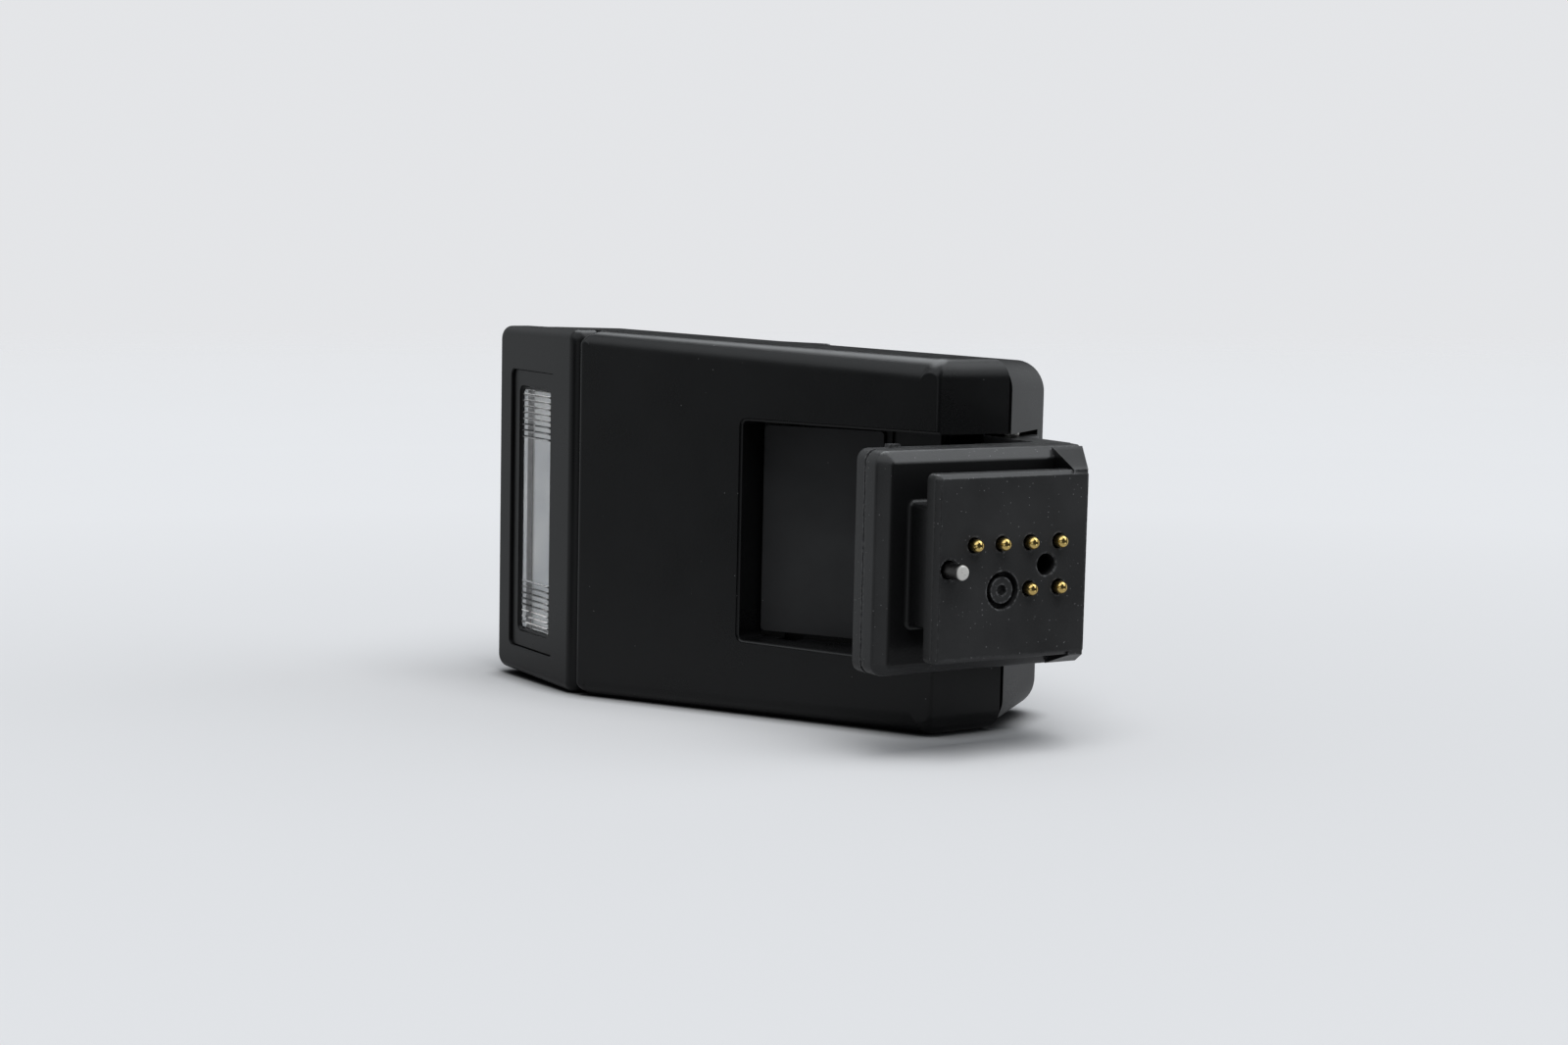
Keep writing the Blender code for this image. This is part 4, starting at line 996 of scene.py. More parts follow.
class FLASH_OT_front_housing(bpy.types.Operator):
    """Build the front housing with its foot recess and slanted hinge end"""

    bl_idname = "flash.front_housing"
    bl_label = "Front housing"

    def execute(self, context):
        face_round = sizes().face_round / MM
        behind_bezel = BEZEL_DEPTH + GAP
        ends = (lambda y: head_inward_at(y, -GAP / 2)[0], housing_end)
        rounds = ((face_round * 0.8, face_round * 1.9), (0.35, face_round * 2.6))
        corners = (1.6, HOUSING_CORNER)
        knee = head(-GAP / 2, behind_bezel)[1]
        turns = [math.pi / 2 * (1.0 - k / 10) for k in range(11)]
        bm = bmesh.new()
        loops = [face_loop(ends, half_width, corners, rounds, turn, widest=0.0) for turn in turns]
        ends = (lambda y: head_along_at(y, behind_bezel)[0], housing_end)
        corners = (0.1, HOUSING_CORNER)
        loops += [face_loop(ends, half_width, corners, rounds, 0.0, y, widest=0.0) for y in (knee, PARTING)]
        add_loft(bm, loops)
        obj = to_object("housing_front", bm)
        self.hollow(obj)
        self.recess(obj)
        dress(obj, BODY, housing_plastic(), "body", "moulded_black", "front_housing")
        return {"FINISHED"}

    def hollow(self, obj):
        """Cut the room inside, open to the back and to the head."""
        past = PARTING + 1.0
        tray_side = RECESS_HALF + RECESS_WALL
        tray_start = RECESS_START - RECESS_WALL
        inner_end = WALL / math.cos(BEND)
        bm = bmesh.new()
        start = head_inward_at(WALL, -WALL)
        room = [start, (tray_start, WALL), (tray_start, past), (-14.0, past), head(14.0, BEZEL_DEPTH - GAP)]
        add_body_slab(bm, room, WALL)
        channel = [(tray_start - 1.0, WALL + 0.1), (housing_end(WALL) - inner_end, WALL + 0.1),
                   (housing_end(past) - inner_end, past), (tray_start - 1.0, past)]
        add_prism(bm, channel, tray_side, lambda x: half_width(x) - WALL - 0.1)
        add_prism(bm, channel, lambda x: 0.1 + WALL - half_width(x), -tray_side)
        below = [(x, recess_floor(x) + TRAY_WALL) for x in (tray_start - 1.0, DEEP_START - TRAY_WALL)]
        below += [(DEEP_START - TRAY_WALL, past), (tray_start - 1.0, past)]
        add_prism(bm, below, -tray_side - 1.0, tray_side + 1.0)
        carve(obj, bm)

    def recess(self, obj):
        """Cut the foot's recess with its rounded rim, the deep end, the screw holes and the detents."""
        past = PARTING + 1.0
        out = FACE_LENGTH + 10.0
        rim = sizes().rim_round / MM
        bm = bmesh.new()
        end = DEEP_START + 1.0
        corner = 0.6
        recess = [(RECESS_START, 1.0), (end, 1.0), (end, recess_floor(end)),
                  (RECESS_START, recess_floor(RECESS_START))]
        add_prism(bm, recess, -RECESS_HALF, RECESS_HALF)
        round_edges(bm, lambda p: abs(p.x - RECESS_START) < CLOSE and abs(abs(p.z) - RECESS_HALF) < CLOSE,
                    corner, 6)
        add_opening(bm, (RECESS_START, out), (-RECESS_HALF, RECESS_HALF), corner, 0.0, 1.5, rim)
        add_box(bm, (DEEP_START, out + 1.0), (0.9, DEEP_FLOOR), (0.05 - RECESS_HALF, RECESS_HALF - 0.05))
        add_box(bm, (OPEN_START, out + 2.0), (0.8, past), (0.1 - RECESS_HALF, RECESS_HALF - 0.1))
        for number in (1, 2):
            low, high = extent(f"housing_screw_{number}", BODY)
            middle = (low + high) / 2
            hole = [(0.0, DEEP_FLOOR - 1.0), (0.9, DEEP_FLOOR - 1.0), (0.9, past), (0.0, past)]
            add_turned(bm, hole, (middle.x, 0.0, middle.z), steps=24)
        nub = HINGE[0] - HINGE_ALONG + 0.6
        depth = HINGE[1] - HINGE_DOWN + (ARM_TOP + ARM_BACK) / 2
        dent = RECESS_HALF + NUB_HEIGHT
        add_box(bm, (nub - 1.1, nub + 1.1), (depth - 1.0, depth + 1.0), (-dent, dent))
        carve(obj, bm)


class FLASH_OT_rear_shell(bpy.types.Operator):
    """Build the rear shell with its display pocket, control holes, socket slot and hinge well"""

    bl_idname = "flash.rear_shell"
    bl_label = "Rear shell"

    def execute(self, context):
        front = PARTING + PARTING_GAP
        behind_bezel = BEZEL_DEPTH + GAP
        bm = bmesh.new()
        outline = [head_along_at(front, behind_bezel), (shell_end(front), front), (shell_end(DEPTH), DEPTH),
                   head_inward_at(DEPTH, HEAD_LENGTH), head(HEAD_LENGTH, behind_bezel)]
        add_body_slab(bm, outline, 0.0, SHELL_DRAFT)
        round_edges(bm, lambda p: on_side(p) and abs(p.x - shell_end(p.y)) < CLOSE, SHELL_CORNER, 14)
        left = head(HEAD_LENGTH, 0.0)
        round_edges(bm, lambda p: on_side(p) and abs(head_inward_at(p.y, HEAD_LENGTH)[0] - p.x) < CLOSE
                    and p.x < left[0] + 10.0, HEAD_CORNER, 10)
        round_edges(bm, lambda p: abs(p.y - DEPTH) < CLOSE, BACK_ROUND, 8)
        obj = to_object("shell_rear", bm)
        self.hollow(obj)
        self.openings(obj)
        dress(obj, BODY, shell_plastic(), "body", "shell_black", "rear_shell")
        return {"FINISHED"}

    def hollow(self, obj):
        """Cut the room inside, round the hinge well."""
        before = PARTING - 0.6
        inside = DEPTH - BACK_WALL
        well_side = WELL_HALF + WELL_WALL
        well_start = WELL_START - WALL
        deck = PARTING + PARTING_GAP + TRAY_WALL
        inner = HEAD_LENGTH - WALL
        bm = bmesh.new()
        room = [head_along_at(before, BEZEL_DEPTH - GAP), (DEEP_START - WALL, before),
                (DEEP_START - WALL, deck), (well_start, deck), (well_start, inside),
                head_inward_at(inside, inner), head(inner, BEZEL_DEPTH - GAP)]
        add_body_slab(bm, room, WALL, SHELL_DRAFT)
        channel = [(DEEP_START - WALL - 1.0, before - 1.0), (shell_end(before) - WALL, before - 1.0),
                   (shell_end(inside) - WALL, inside - 0.1), (DEEP_START - WALL - 1.0, inside - 0.1)]
        channel_side = half_width(SHELL_END_FRONT) - SHELL_DRAFT * (DEPTH - PARTING) - WALL
        add_prism(bm, channel, well_side, channel_side)
        add_prism(bm, channel, -channel_side, -well_side)
        carve(obj, bm)

    def openings(self, obj):
        """Cut the well, the pin's bore, the screw holes, the display pocket, the control holes and slot."""
        before = PARTING - 0.6
        inside = DEPTH - BACK_WALL
        deck = PARTING + PARTING_GAP + TRAY_WALL
        rim = sizes().rim_round / MM
        bm = bmesh.new()
        add_box(bm, (WELL_START, SHELL_END_FRONT + 10.0), (before, WELL_FLOOR), (-WELL_HALF, WELL_HALF))
        low, high = extent("hinge_pin", BODY)
        radius = (high.x - low.x) / 2 + GAP
        bore = [(0.0, low.z - GAP), (radius, low.z - GAP), (radius, high.z + GAP), (0.0, high.z + GAP)]
        add_turned(bm, bore, (*HINGE, 0.0), UP, 32)
        for number in (1, 2):
            low, high = extent(f"housing_screw_{number}", BODY)
            middle = (low + high) / 2
            hole = [(0.0, before), (0.9, before), (0.9, deck + 1.0), (0.0, deck + 1.0)]
            add_turned(bm, hole, (middle.x, 0.0, middle.z), steps=24)
        self.back_opening(bm, "display_window", DEPTH - 1.1, 1.2, rim)
        self.back_opening(bm, "display_module", inside - 1.0, 0.6, 0.01)
        for node in ("control_dial", "menu_button", "test_button"):
            low, high = extent(node, BODY)
            flange = 0.7
            hole = (high.x - low.x) / 2 - flange + GAP
            middle = (low + high) / 2
            mouth = [(0.0, inside - 1.0), (hole, inside - 1.0)]
            mouth += [(hole + side, DEPTH - rim + up) for side, up in quarter(rim)]
            mouth += [(hole + rim, DEPTH + 1.0), (0.0, DEPTH + 1.0)]
            add_turned(bm, mouth, (middle.x, 0.0, middle.z), steps=64)
        low, high = extent("usb_socket", BODY)
        outline = rectangle((low.x, high.x), (low.y, high.y), 0.9, GAP)
        add_prism(bm, outline, HALF_WIDTH - 4.0, HALF_WIDTH + 2.0)
        carve(obj, bm)

    def back_opening(self, bm, node, floor, corner, rim):
        """Add a cutter through the back wall round a node, down to a floor."""
        low, high = extent(node, BODY)
        xs, zs = (low.x, high.x), (low.z, high.z)
        levels = [(rectangle(xs, zs, corner, GAP), floor)]
        levels += [(rectangle(xs, zs, corner, GAP + side), DEPTH - rim + up) for side, up in quarter(rim)]
        levels.append((rectangle(xs, zs, corner, GAP + rim), DEPTH + 1.0))
        add_stack(bm, levels)


class FLASH_OT_lens_bezel(bpy.types.Operator):
    """Build the flash head's frame with its window opening"""

    bl_idname = "flash.lens_bezel"
    bl_label = "Flash head frame"

    def execute(self, context):
        face_round = sizes().face_round / MM
        ends = (lambda y: -HEAD_LENGTH, lambda y: -GAP / 2)
        rounds = ((face_round, face_round), (face_round * 1.5, face_round * 1.2))
        corners = (HEAD_CORNER, 1.6)
        turns = [math.pi / 2 * (1.0 - k / 10) for k in range(11)]
        bm = bmesh.new()
        loops = [face_loop(ends, self.half, corners, rounds, turn) for turn in turns]
        loops.append(face_loop(ends, self.half, corners, rounds, 0.0, BEZEL_DEPTH))
        add_loft(bm, loops)
        obj = to_object("flash_head_frame", bm)
        low, high = extent("window_frame", HEAD)
        bm = bmesh.new()
        xs, zs = (low.x - GAP, high.x + GAP), (low.z - GAP, high.z + GAP)
        add_opening(bm, xs, zs, 0.8, 0.0, BEZEL_DEPTH + 1.0, 0.1)
        carve(obj, bm)
        dress(obj, HEAD, bezel_plastic(), "body", "bezel_black", "lens_bezel")
        return {"FINISHED"}

    def half(self, x):
        """Half the width at a place along the flash head."""
        return half_width(x * math.cos(BEND))


class FLASH_OT_window(bpy.types.Operator):
    """Build the stepped window frame and the clear window with its prism ribs"""

    bl_idname = "flash.window"
    bl_label = "Flash window"

    def execute(self, context):
        low, high = extent("window_frame", HEAD)
        pane_low, pane_high = extent("flash_window", HEAD)
        bm = bmesh.new()
        close_fit = GAP * 0.85
        xs, zs = (low.x - close_fit, high.x + close_fit), (low.z - close_fit, high.z + close_fit)
        add_panel(bm, xs, zs, 0.6, low.y, high.y, 0.1)
        obj = to_object("window_surround", bm)
        bm = bmesh.new()
        xs, zs = (pane_low.x - 0.1, pane_high.x + 0.1), (pane_low.z - 0.1, pane_high.z + 0.1)
        add_opening(bm, xs, zs, 0.5, low.y, high.y + 1.0, 0.35)
        carve(obj, bm)
        dress(obj, HEAD, bezel_plastic(), "body", "moulded_black", "window_frame")
        self.pane(pane_low, pane_high)
        return {"FINISHED"}

    def pane(self, low, high):
        """Clear window: plain in the middle, with prism ribs across both ends."""
        bm = bmesh.new()
        add_panel(bm, (low.x, high.x), (low.z, high.z), 0.4, low.y, high.y, 0.15)
        obj = to_object("window_pane", bm)
        pitch = sizes().rib_pitch / MM
        height = 0.45
        centre = ((low.x + high.x) / 2, low.y + height - 0.25, (low.z + high.z) / 2)
        run_nodes(obj, rib_nodes(), Count=8, Pitch=pitch, Height=height, Width=high.x - low.x - 0.5,
                  Centre=centre, Reach=(high.z - low.z) / 2 - 0.6, Material=clear_plastic())
        dress(obj, HEAD, clear_plastic(), "body", "clear_window", "flash_window")


class FLASH_OT_lamp(bpy.types.Operator):
    """Build the reflector trough, the flash tube and its caps"""

    bl_idname = "flash.lamp"
    bl_label = "Reflector and tube"

    def execute(self, context):
        low, high = extent("reflector", HEAD)
        skin = 0.4
        bm = bmesh.new()
        add_prism(bm, self.trough(low, high, 0.0, low.y), low.z, high.z)
        obj = to_object("reflector_trough", bm)
        bm = bmesh.new()
        add_prism(bm, self.trough(low, high, skin, low.y - 1.0), low.z + skin, high.z - skin)
        tube_low, tube_high = extent("flash_tube", HEAD)
        middle = (tube_low + tube_high) / 2
        radius = (tube_high.x - tube_low.x) / 2
        room, below, above = radius + GAP, low.z - 1.0, high.z + 1.0
        hole = [(0.0, below), (room, below), (room, above), (0.0, above)]
        add_turned(bm, hole, (middle.x, middle.y, 0.0), UP, 32)
        carve(obj, bm)
        dress(obj, HEAD, mirror_sheet(), "body", "bright_reflector", "reflector")
        self.bar("tube_glass", "flash_tube", clear_plastic(), "clear_window", 0.8)
        self.bar("tube_cap_upper", "upper_electrode", nickel_plate(), "nickel", 0.3)
        self.bar("tube_cap_lower", "lower_electrode", nickel_plate(), "nickel", 0.3)
        return {"FINISHED"}

    def trough(self, low, high, skin, mouth):
        """Parabolic section, closed across its mouth."""
        middle = (low.x + high.x) / 2
        width = (high.x - low.x) / 2 - skin
        deepest = high.y - skin
        steps = 40
        shares = [2.0 * k / steps - 1.0 for k in range(steps + 1)]
        curve = [(middle + share * width, deepest - (deepest - low.y) * share * share) for share in shares]
        if mouth < low.y:
            curve += [(middle + width, mouth), (middle - width, mouth)]
        return curve

    def bar(self, name, node, finish, slot, end):
        """A round bar in place of a node."""
        bm = bmesh.new()
        add_bar(bm, *extent(node, HEAD), end)
        dress(to_object(name, bm), HEAD, finish, "body", slot, node)


class FLASH_OT_label(bpy.types.Operator):
    """Build the bare label panel on the recess floor"""

    bl_idname = "flash.label"
    bl_label = "Recess label"

    def execute(self, context):
        low, high = extent("label_panel", BODY)
        slope = math.atan((RECESS_FLOOR[1] - RECESS_FLOOR[0]) / (DEEP_START - RECESS_START))
        length = (high.x - low.x) / math.cos(slope)
        thickness = 0.3 * math.cos(slope)
        bm = bmesh.new()
        add_panel(bm, (0.0, length), (low.z, high.z), 0.5, 0.0, thickness, 0.08)
        tilt = Matrix.Translation((low.x, low.y, 0.0)) @ Matrix.Rotation(slope, 4, "Z")
        bmesh.ops.transform(bm, matrix=tilt, verts=bm.verts)
        dress(to_object("recess_label", bm), BODY, label_film(), "body", "label_grey", "label_panel")
        return {"FINISHED"}


class FLASH_OT_shoe_base(bpy.types.Operator):
    """Build the foot's block with its neck, shoe plate and rear stop"""

    bl_idname = "flash.shoe_base"
    bl_label = "Shoe base"

    def execute(self, context):
        bm = bmesh.new()
        self.block(bm)
        self.plate(bm)
        self.neck(bm)
        self.stop(bm)
        obj = to_object("shoe_block", bm)
        self.hollow(obj)
        dress(obj, FOOT, shoe_plastic(), "foot", "foot_black", "shoe_base")
        return {"FINISHED"}

    def block(self, bm):
        """Slab under the shoulder, bevelled round its top."""
        zs = (-BLOCK_HALF, BLOCK_HALF)
        slope = (ARM_REAR - STOP_REAR) / (BLOCK_BACK - SHOULDER)
        front_corner, rear_corner = BLOCK_CORNER + 0.3, 0.3
        steps = ((0.0, BLOCK_BACK - SHOULDER), (0.0, BLOCK_BEVEL + 0.3), (0.06, BLOCK_BEVEL + 0.1),
                 (0.2, BLOCK_BEVEL - 0.15), (BLOCK_BEVEL - 0.2, 0.12), (BLOCK_BEVEL, 0.02),
                 (BLOCK_BEVEL + 0.15, 0.0))
        levels = []
        for side, up in steps:
            xs = (BLOCK_FRONT, STOP_REAR + slope * up)
            levels.append((rectangle(xs, zs, front_corner, -side, 8, rear_corner), SHOULDER + up))
        add_stack(bm, levels)

    def plate(self, bm):
        """Flat plate of the shoe, with a bevelled rim except at its rear."""
        bevel = sizes().plate_bevel / MM
        zs = (-PLATE_HALF, PLATE_HALF)
        front_corner, rear_corner = 0.65, 0.1
        steps = ((0.15, PLATE_THICKNESS), (0.0, PLATE_THICKNESS - 0.15), (0.0, bevel + 0.12),
                 (0.03, bevel + 0.02), (bevel - 0.06, 0.05), (bevel + 0.06, 0.0))
        levels = []
        for side, up in steps:
            xs = (0.0, PLATE_LENGTH + side)
            levels.append((rectangle(xs, zs, front_corner, -side, far=rear_corner), up))
        add_stack(bm, levels)

    def neck(self, bm):
        """Column between the shoulder and the plate, flared where it meets the shoulder."""
        xs, zs = NECK_SPAN, (-NECK_HALF, NECK_HALF)
        flare = 0.5
        corner = 0.4
        levels = [(rectangle(xs, zs, corner, flare), SHOULDER + 1.5)]
        for side, up in quarter(flare):
            levels.append((rectangle(xs, zs, corner, flare - up), SHOULDER + CLOSE - side))
        levels.append((rectangle(xs, zs, corner), PLATE_THICKNESS - 0.4))
        add_stack(bm, levels)

    def stop(self, bm):
        """Sloping wall behind the plate."""
        sunk = SHOULDER + 0.8
        wide = BLOCK_HALF - 0.1
        side = PLATE_HALF + 0.05
        peak = 0.05
        front, low_front = STOP_FRONTS
        rear, low_rear = PLATE_LENGTH - 0.05, STOP_REAR + 0.1
        low = [(low_front, sunk, -wide), (low_rear, sunk, -wide), (low_rear, sunk, wide),
               (low_front, sunk, wide)]
        high = [(front, peak, -side), (rear, peak, -side), (rear, peak, side), (front, peak, side)]
        a = [bm.verts.new(p) for p in low]
        b = [bm.verts.new(p) for p in high]
        bm.faces.new(a[::-1])
        bm.faces.new(b)
        for k in range(4):
            n = (k + 1) % 4
            bm.faces.new((a[k], a[n], b[n], b[k]))

    def hollow(self, obj):
        """Cut the room behind the plate, the holes of the pins and screws, and the plate's two holes."""
        past = BLOCK_BACK + 1.0
        bm = bmesh.new()
        add_box(bm, NECK_ROOM, (PLATE_THICKNESS - 0.1, past), (-NECK_ROOM_HALF, NECK_ROOM_HALF))
        add_box(bm, BOARD_ROOM, (SHOULDER + 1.2, past + 0.5), (-BOARD_ROOM_HALF, BOARD_ROOM_HALF))
        low, high = extent("lock_pin", FOOT)
        self.hole(bm, (low + high) / 2, (high.x - low.x) / 2 + GAP / 2, past + 1.0, 0.12)
        for number in range(1, 7):
            low, high = extent(f"contact_pin_{number}", FOOT)
            self.hole(bm, (low + high) / 2, CONTACT_HOLE, PLATE_THICKNESS + 0.5, 0.08)
        self.hole(bm, Vector(PLAIN_HOLE), PLAIN_HOLE_RADIUS, PLATE_THICKNESS + 0.5, 0.1)
        groove = [(1.32, -1.0), (1.98, -1.0), (1.9, 0.08), (1.9, 1.15), (1.4, 1.15), (1.32, 1.05)]
        add_turned(bm, groove, COLLAR, steps=48)
        self.hole(bm, Vector(COLLAR), 1.4, 0.15, 0.0)
        self.hole(bm, Vector(COLLAR), 0.55, 0.6, 0.0)
        for number in range(1, 5):
            low, high = extent(f"foot_screw_{number}", FOOT)
            middle = (low + high) / 2
            shank = [(0.0, SHOULDER + 0.8), (0.7, SHOULDER + 0.8), (0.7, past), (0.0, past)]
            add_turned(bm, shank, (middle.x, 0.0, middle.z), steps=24)
        carve(obj, bm)

    def hole(self, bm, middle, radius, bottom, rim):
        """Add a round cutter down from the plate's face, with a rounded rim."""
        profile = [(0.0, -1.0), (radius + rim, -1.0)]
        if rim > 0.0:
            profile += [(radius + rim - side, up - CLOSE) for side, up in quarter(rim)]
        profile += [(radius, bottom), (0.0, bottom)]
        add_turned(bm, profile, (middle.x, 0.0, middle.z), steps=40)


class FLASH_OT_foot_arm(bpy.types.Operator):
    """Build the foot's outer layer, its arm and its hinge barrel"""

    bl_idname = "flash.foot_arm"
    bl_label = "Foot arm"

    def execute(self, context):
        lift = math.acos((ARM_REAR - HINGE_ALONG) / BARREL_RADIUS)
        steps = 40
        angles = [-lift + (math.pi + lift) * k / steps for k in range(steps + 1)]
        barrel = [(HINGE_ALONG + BARREL_RADIUS * math.cos(a), HINGE_DOWN + BARREL_RADIUS * math.sin(a))
                  for a in angles]
        front = BLOCK_FRONT + 0.1
        outline = [(front, ARM_TOP), (ARM_REAR, ARM_TOP)] + barrel
        outline += [(ARM_FRONT, ARM_BACK), (front, ARM_BACK)]
        bm = bmesh.new()
        add_prism(bm, outline, -BLOCK_HALF, BLOCK_HALF)
        round_edges(bm, lambda p: abs(p.x - front) < CLOSE and abs(abs(p.z) - BLOCK_HALF) < CLOSE,
                    BLOCK_CORNER, 8)
        round_edges(bm, lambda p: abs(p.y - ARM_BACK) < CLOSE and p.x < ARM_FRONT + CLOSE, 0.4, 5)
        for side in (1.0, -1.0):
            low, high = sorted((side * (BLOCK_HALF - 1.0), side * (BLOCK_HALF + NUB_HEIGHT)))
            add_box(bm, (0.0, 1.2), (ARM_TOP + 0.2, ARM_BACK - 0.5), (low, high))
        obj = to_object("foot_outer_layer", bm)
        bm = bmesh.new()
        for number in range(1, 5):
            low, high = extent(f"foot_screw_{number}", FOOT)
            middle = (low + high) / 2
            seat = ARM_BACK - 0.95
            profile = [(0.0, ARM_TOP - 1.0), (0.7, ARM_TOP - 1.0), (0.7, seat), (1.2, seat),
                       (1.2, ARM_BACK + 1.0), (0.0, ARM_BACK + 1.0)]
            add_turned(bm, profile, (middle.x, 0.0, middle.z), steps=32)
        low, high = extent("hinge_pin", BODY)
        radius = (high.x - low.x) / 2 + GAP
        reach = BLOCK_HALF + 1.0
        bore = [(0.0, -reach), (radius, -reach), (radius, reach), (0.0, reach)]
        add_turned(bm, bore, (HINGE_ALONG, HINGE_DOWN, 0.0), UP, 32)
        carve(obj, bm)
        dress(obj, FOOT, foot_plastic(), "foot", "foot_black", "foot_arm")
        return {"FINISHED"}


class FLASH_OT_contacts(bpy.types.Operator):
    """Build the six sprung contact pins"""

    bl_idname = "flash.contacts"
    bl_label = "Contact pins"

    def execute(self, context):
        for number in range(1, 7):
            node = f"contact_pin_{number}"
            low, high = extent(node, FOOT)
            middle = (low + high) / 2
            radius = 0.65
            low.y += CONTACT_DROP
            flange = (high.x - low.x) / 2
            seat = PLATE_THICKNESS + 0.3
            stem = 0.45
            profile = [(0.0, low.y)]
            for k in range(1, 13):
                angle = math.pi / 2 * k / 12
                profile.append((radius * math.sin(angle), low.y + radius * (1.0 - math.cos(angle))))
            profile += [(radius, seat), (flange, seat), (flange, seat + 0.4), (stem, seat + 0.4),
                        (stem, high.y), (0.0, high.y)]
            bm = bmesh.new()
            add_turned(bm, profile, (middle.x, 0.0, middle.z), steps=48)
            dress(to_object(f"contact_tip_{number}", bm), FOOT, gold_plate(), node, "gold", node)
        return {"FINISHED"}


class FLASH_OT_lock_pin(bpy.types.Operator):
    """Build the lock pin that stands out of the shoe plate"""

    bl_idname = "flash.lock_pin"
    bl_label = "Lock pin"

    def execute(self, context):
        low, high = extent("lock_pin", FOOT)
        middle = (low + high) / 2
        radius = (high.x - low.x) / 2
        tip = 0.28
        profile = [(0.0, low.y)]
        profile += [(radius - tip + up, low.y + side) for side, up in quarter(tip, 6)]
        profile += [(radius, high.y), (0.0, high.y)]
        bm = bmesh.new()
        add_turned(bm, profile, (middle.x, 0.0, middle.z), steps=48)
        dress(to_object("lock_pin_turned", bm), FOOT, pin_steel(), "lock_pin", "nickel", "lock_pin")
        return {"FINISHED"}


class FLASH_OT_screws(bpy.types.Operator):
    """Build the cross-head screws of the foot and of the housing"""

    bl_idname = "flash.screws"
    bl_label = "Screws"

    def execute(self, context):
        tree = screw_nodes()
        self.row(tree, "foot_screws", FOOT, "foot", [f"foot_screw_{n}" for n in range(1, 5)], 1.0, 0.6)
        self.row(tree, "housing_screws", BODY, "body", [f"housing_screw_{n}" for n in (1, 2)], -1.0, 0.7)
        return {"FINISHED"}

    def row(self, tree, name, place, body, nodes, way, height):
        """Like screws in place of some nodes, with their heads one way along y."""
        bm = bmesh.new()
        for node in nodes:
            low, high = extent(node, place)
            middle = (low + high) / 2
            bm.verts.new((middle.x, high.y if way > 0.0 else low.y, middle.z))
        length = high.y - low.y - height
        shank = 0.4 if way > 0.0 else 0.6
        obj = run_nodes(to_object(name, bm), tree, **{
            "Head radius": (high.x - low.x) / 2, "Head height": height, "Shank radius": shank,
            "Length": length, "Turn": (-way * math.pi / 2, 0.0, 0.0), "Material": nickel_plate()})
        dress(obj, place, nickel_plate(), body, "nickel", *nodes)


class FLASH_OT_hinge_pin(bpy.types.Operator):
    """Build the steel pin the foot turns on"""

    bl_idname = "flash.hinge_pin"
    bl_label = "Hinge pin"

    def execute(self, context):
        bm = bmesh.new()
        add_bar(bm, *extent("hinge_pin", BODY), 0.25)
        dress(to_object("hinge_rod", bm), BODY, nickel_plate(), "body", "nickel", "hinge_pin")
        return {"FINISHED"}


class FLASH_OT_controls(bpy.types.Operator):
    """Build the dial with its grips, its centre button and the two dished keys"""

    bl_idname = "flash.controls"
    bl_label = "Dial and keys"

    def execute(self, context):
        self.dial()
        for node in ("dial_button", "menu_button", "test_button"):
            self.key(node)
        return {"FINISHED"}

    def upright(self, node):
        """A node's size as radius, low and high, and the matrix that stands z on the back wall there."""
        low, high = extent(node, BODY)
        place = BODY @ Matrix.Translation(((low.x + high.x) / 2, DEPTH, (low.z + high.z) / 2))
        place = place @ Matrix.Rotation(-math.pi / 2, 4, "X")
        return (high.x - low.x) / 2, low.y - DEPTH, high.y - DEPTH, place

    def dial(self):
        """Ring with a flange under the wall and grips round its rim."""
        wide, low, high, place = self.upright("control_dial")
        high -= CLOSE
        flange = 0.7
        radius = wide - flange
        hole = 2.8
        soft = 0.35
        profile = [(hole, low), (wide, low), (wide, low + flange), (radius, low + flange)]
        profile += [(radius - side, high - soft + up) for side, up in quarter(soft)]
        profile += [(hole + 0.9, high), (hole + 0.5, high - 0.25), (hole, high - 0.3)]
        bm = bmesh.new()
        add_turned(bm, profile, axis=UP, steps=96)
        obj = run_nodes(to_object("dial_ring", bm), grip_nodes(), Count=sizes().grips, Ring=radius + 0.06,
                        Groove=0.2, Low=0.1, High=high + 0.5, Material=key_plastic())
        dress(obj, place, key_plastic(), "control_dial", "key_black", "control_dial")

    def key(self, node):
        """Round key with a dished top."""
        wide, low, high, place = self.upright(node)
        flange = 0.7 if node != "dial_button" else 0.0
        radius = wide - flange
        soft = 0.25
        profile = [(0.0, low), (wide, low), (wide, low + 0.7), (radius, low + 0.7)]
        profile += [(radius - side, high - soft + up) for side, up in quarter(soft)]
        dish = 0.3
        shares = (0.85, 0.7, 0.5, 0.3, 0.15)
        profile += [((radius - soft) * share, high - dish * (1.0 - share * share)) for share in shares]
        profile.append((0.0, high - dish))
        if flange == 0.0:
            del profile[2:4]
        bm = bmesh.new()
        add_turned(bm, profile, axis=UP, steps=64)
        dress(to_object(node + "_cap", bm), place, key_plastic(), node, "key_black", node)


class FLASH_OT_display(bpy.types.Operator):
    """Build the display's cover glass"""

    bl_idname = "flash.display"
    bl_label = "Display glass"

    def execute(self, context):
        low, high = extent("display_window", BODY)
        bm = bmesh.new()
        add_panel(bm, (low.x, high.x), (low.z, high.z), 0.9, high.y, low.y, 0.15)
        dress(to_object("display_glass", bm), BODY, dark_glass(), "body", "dark_glass", "display_window")
        return {"FINISHED"}


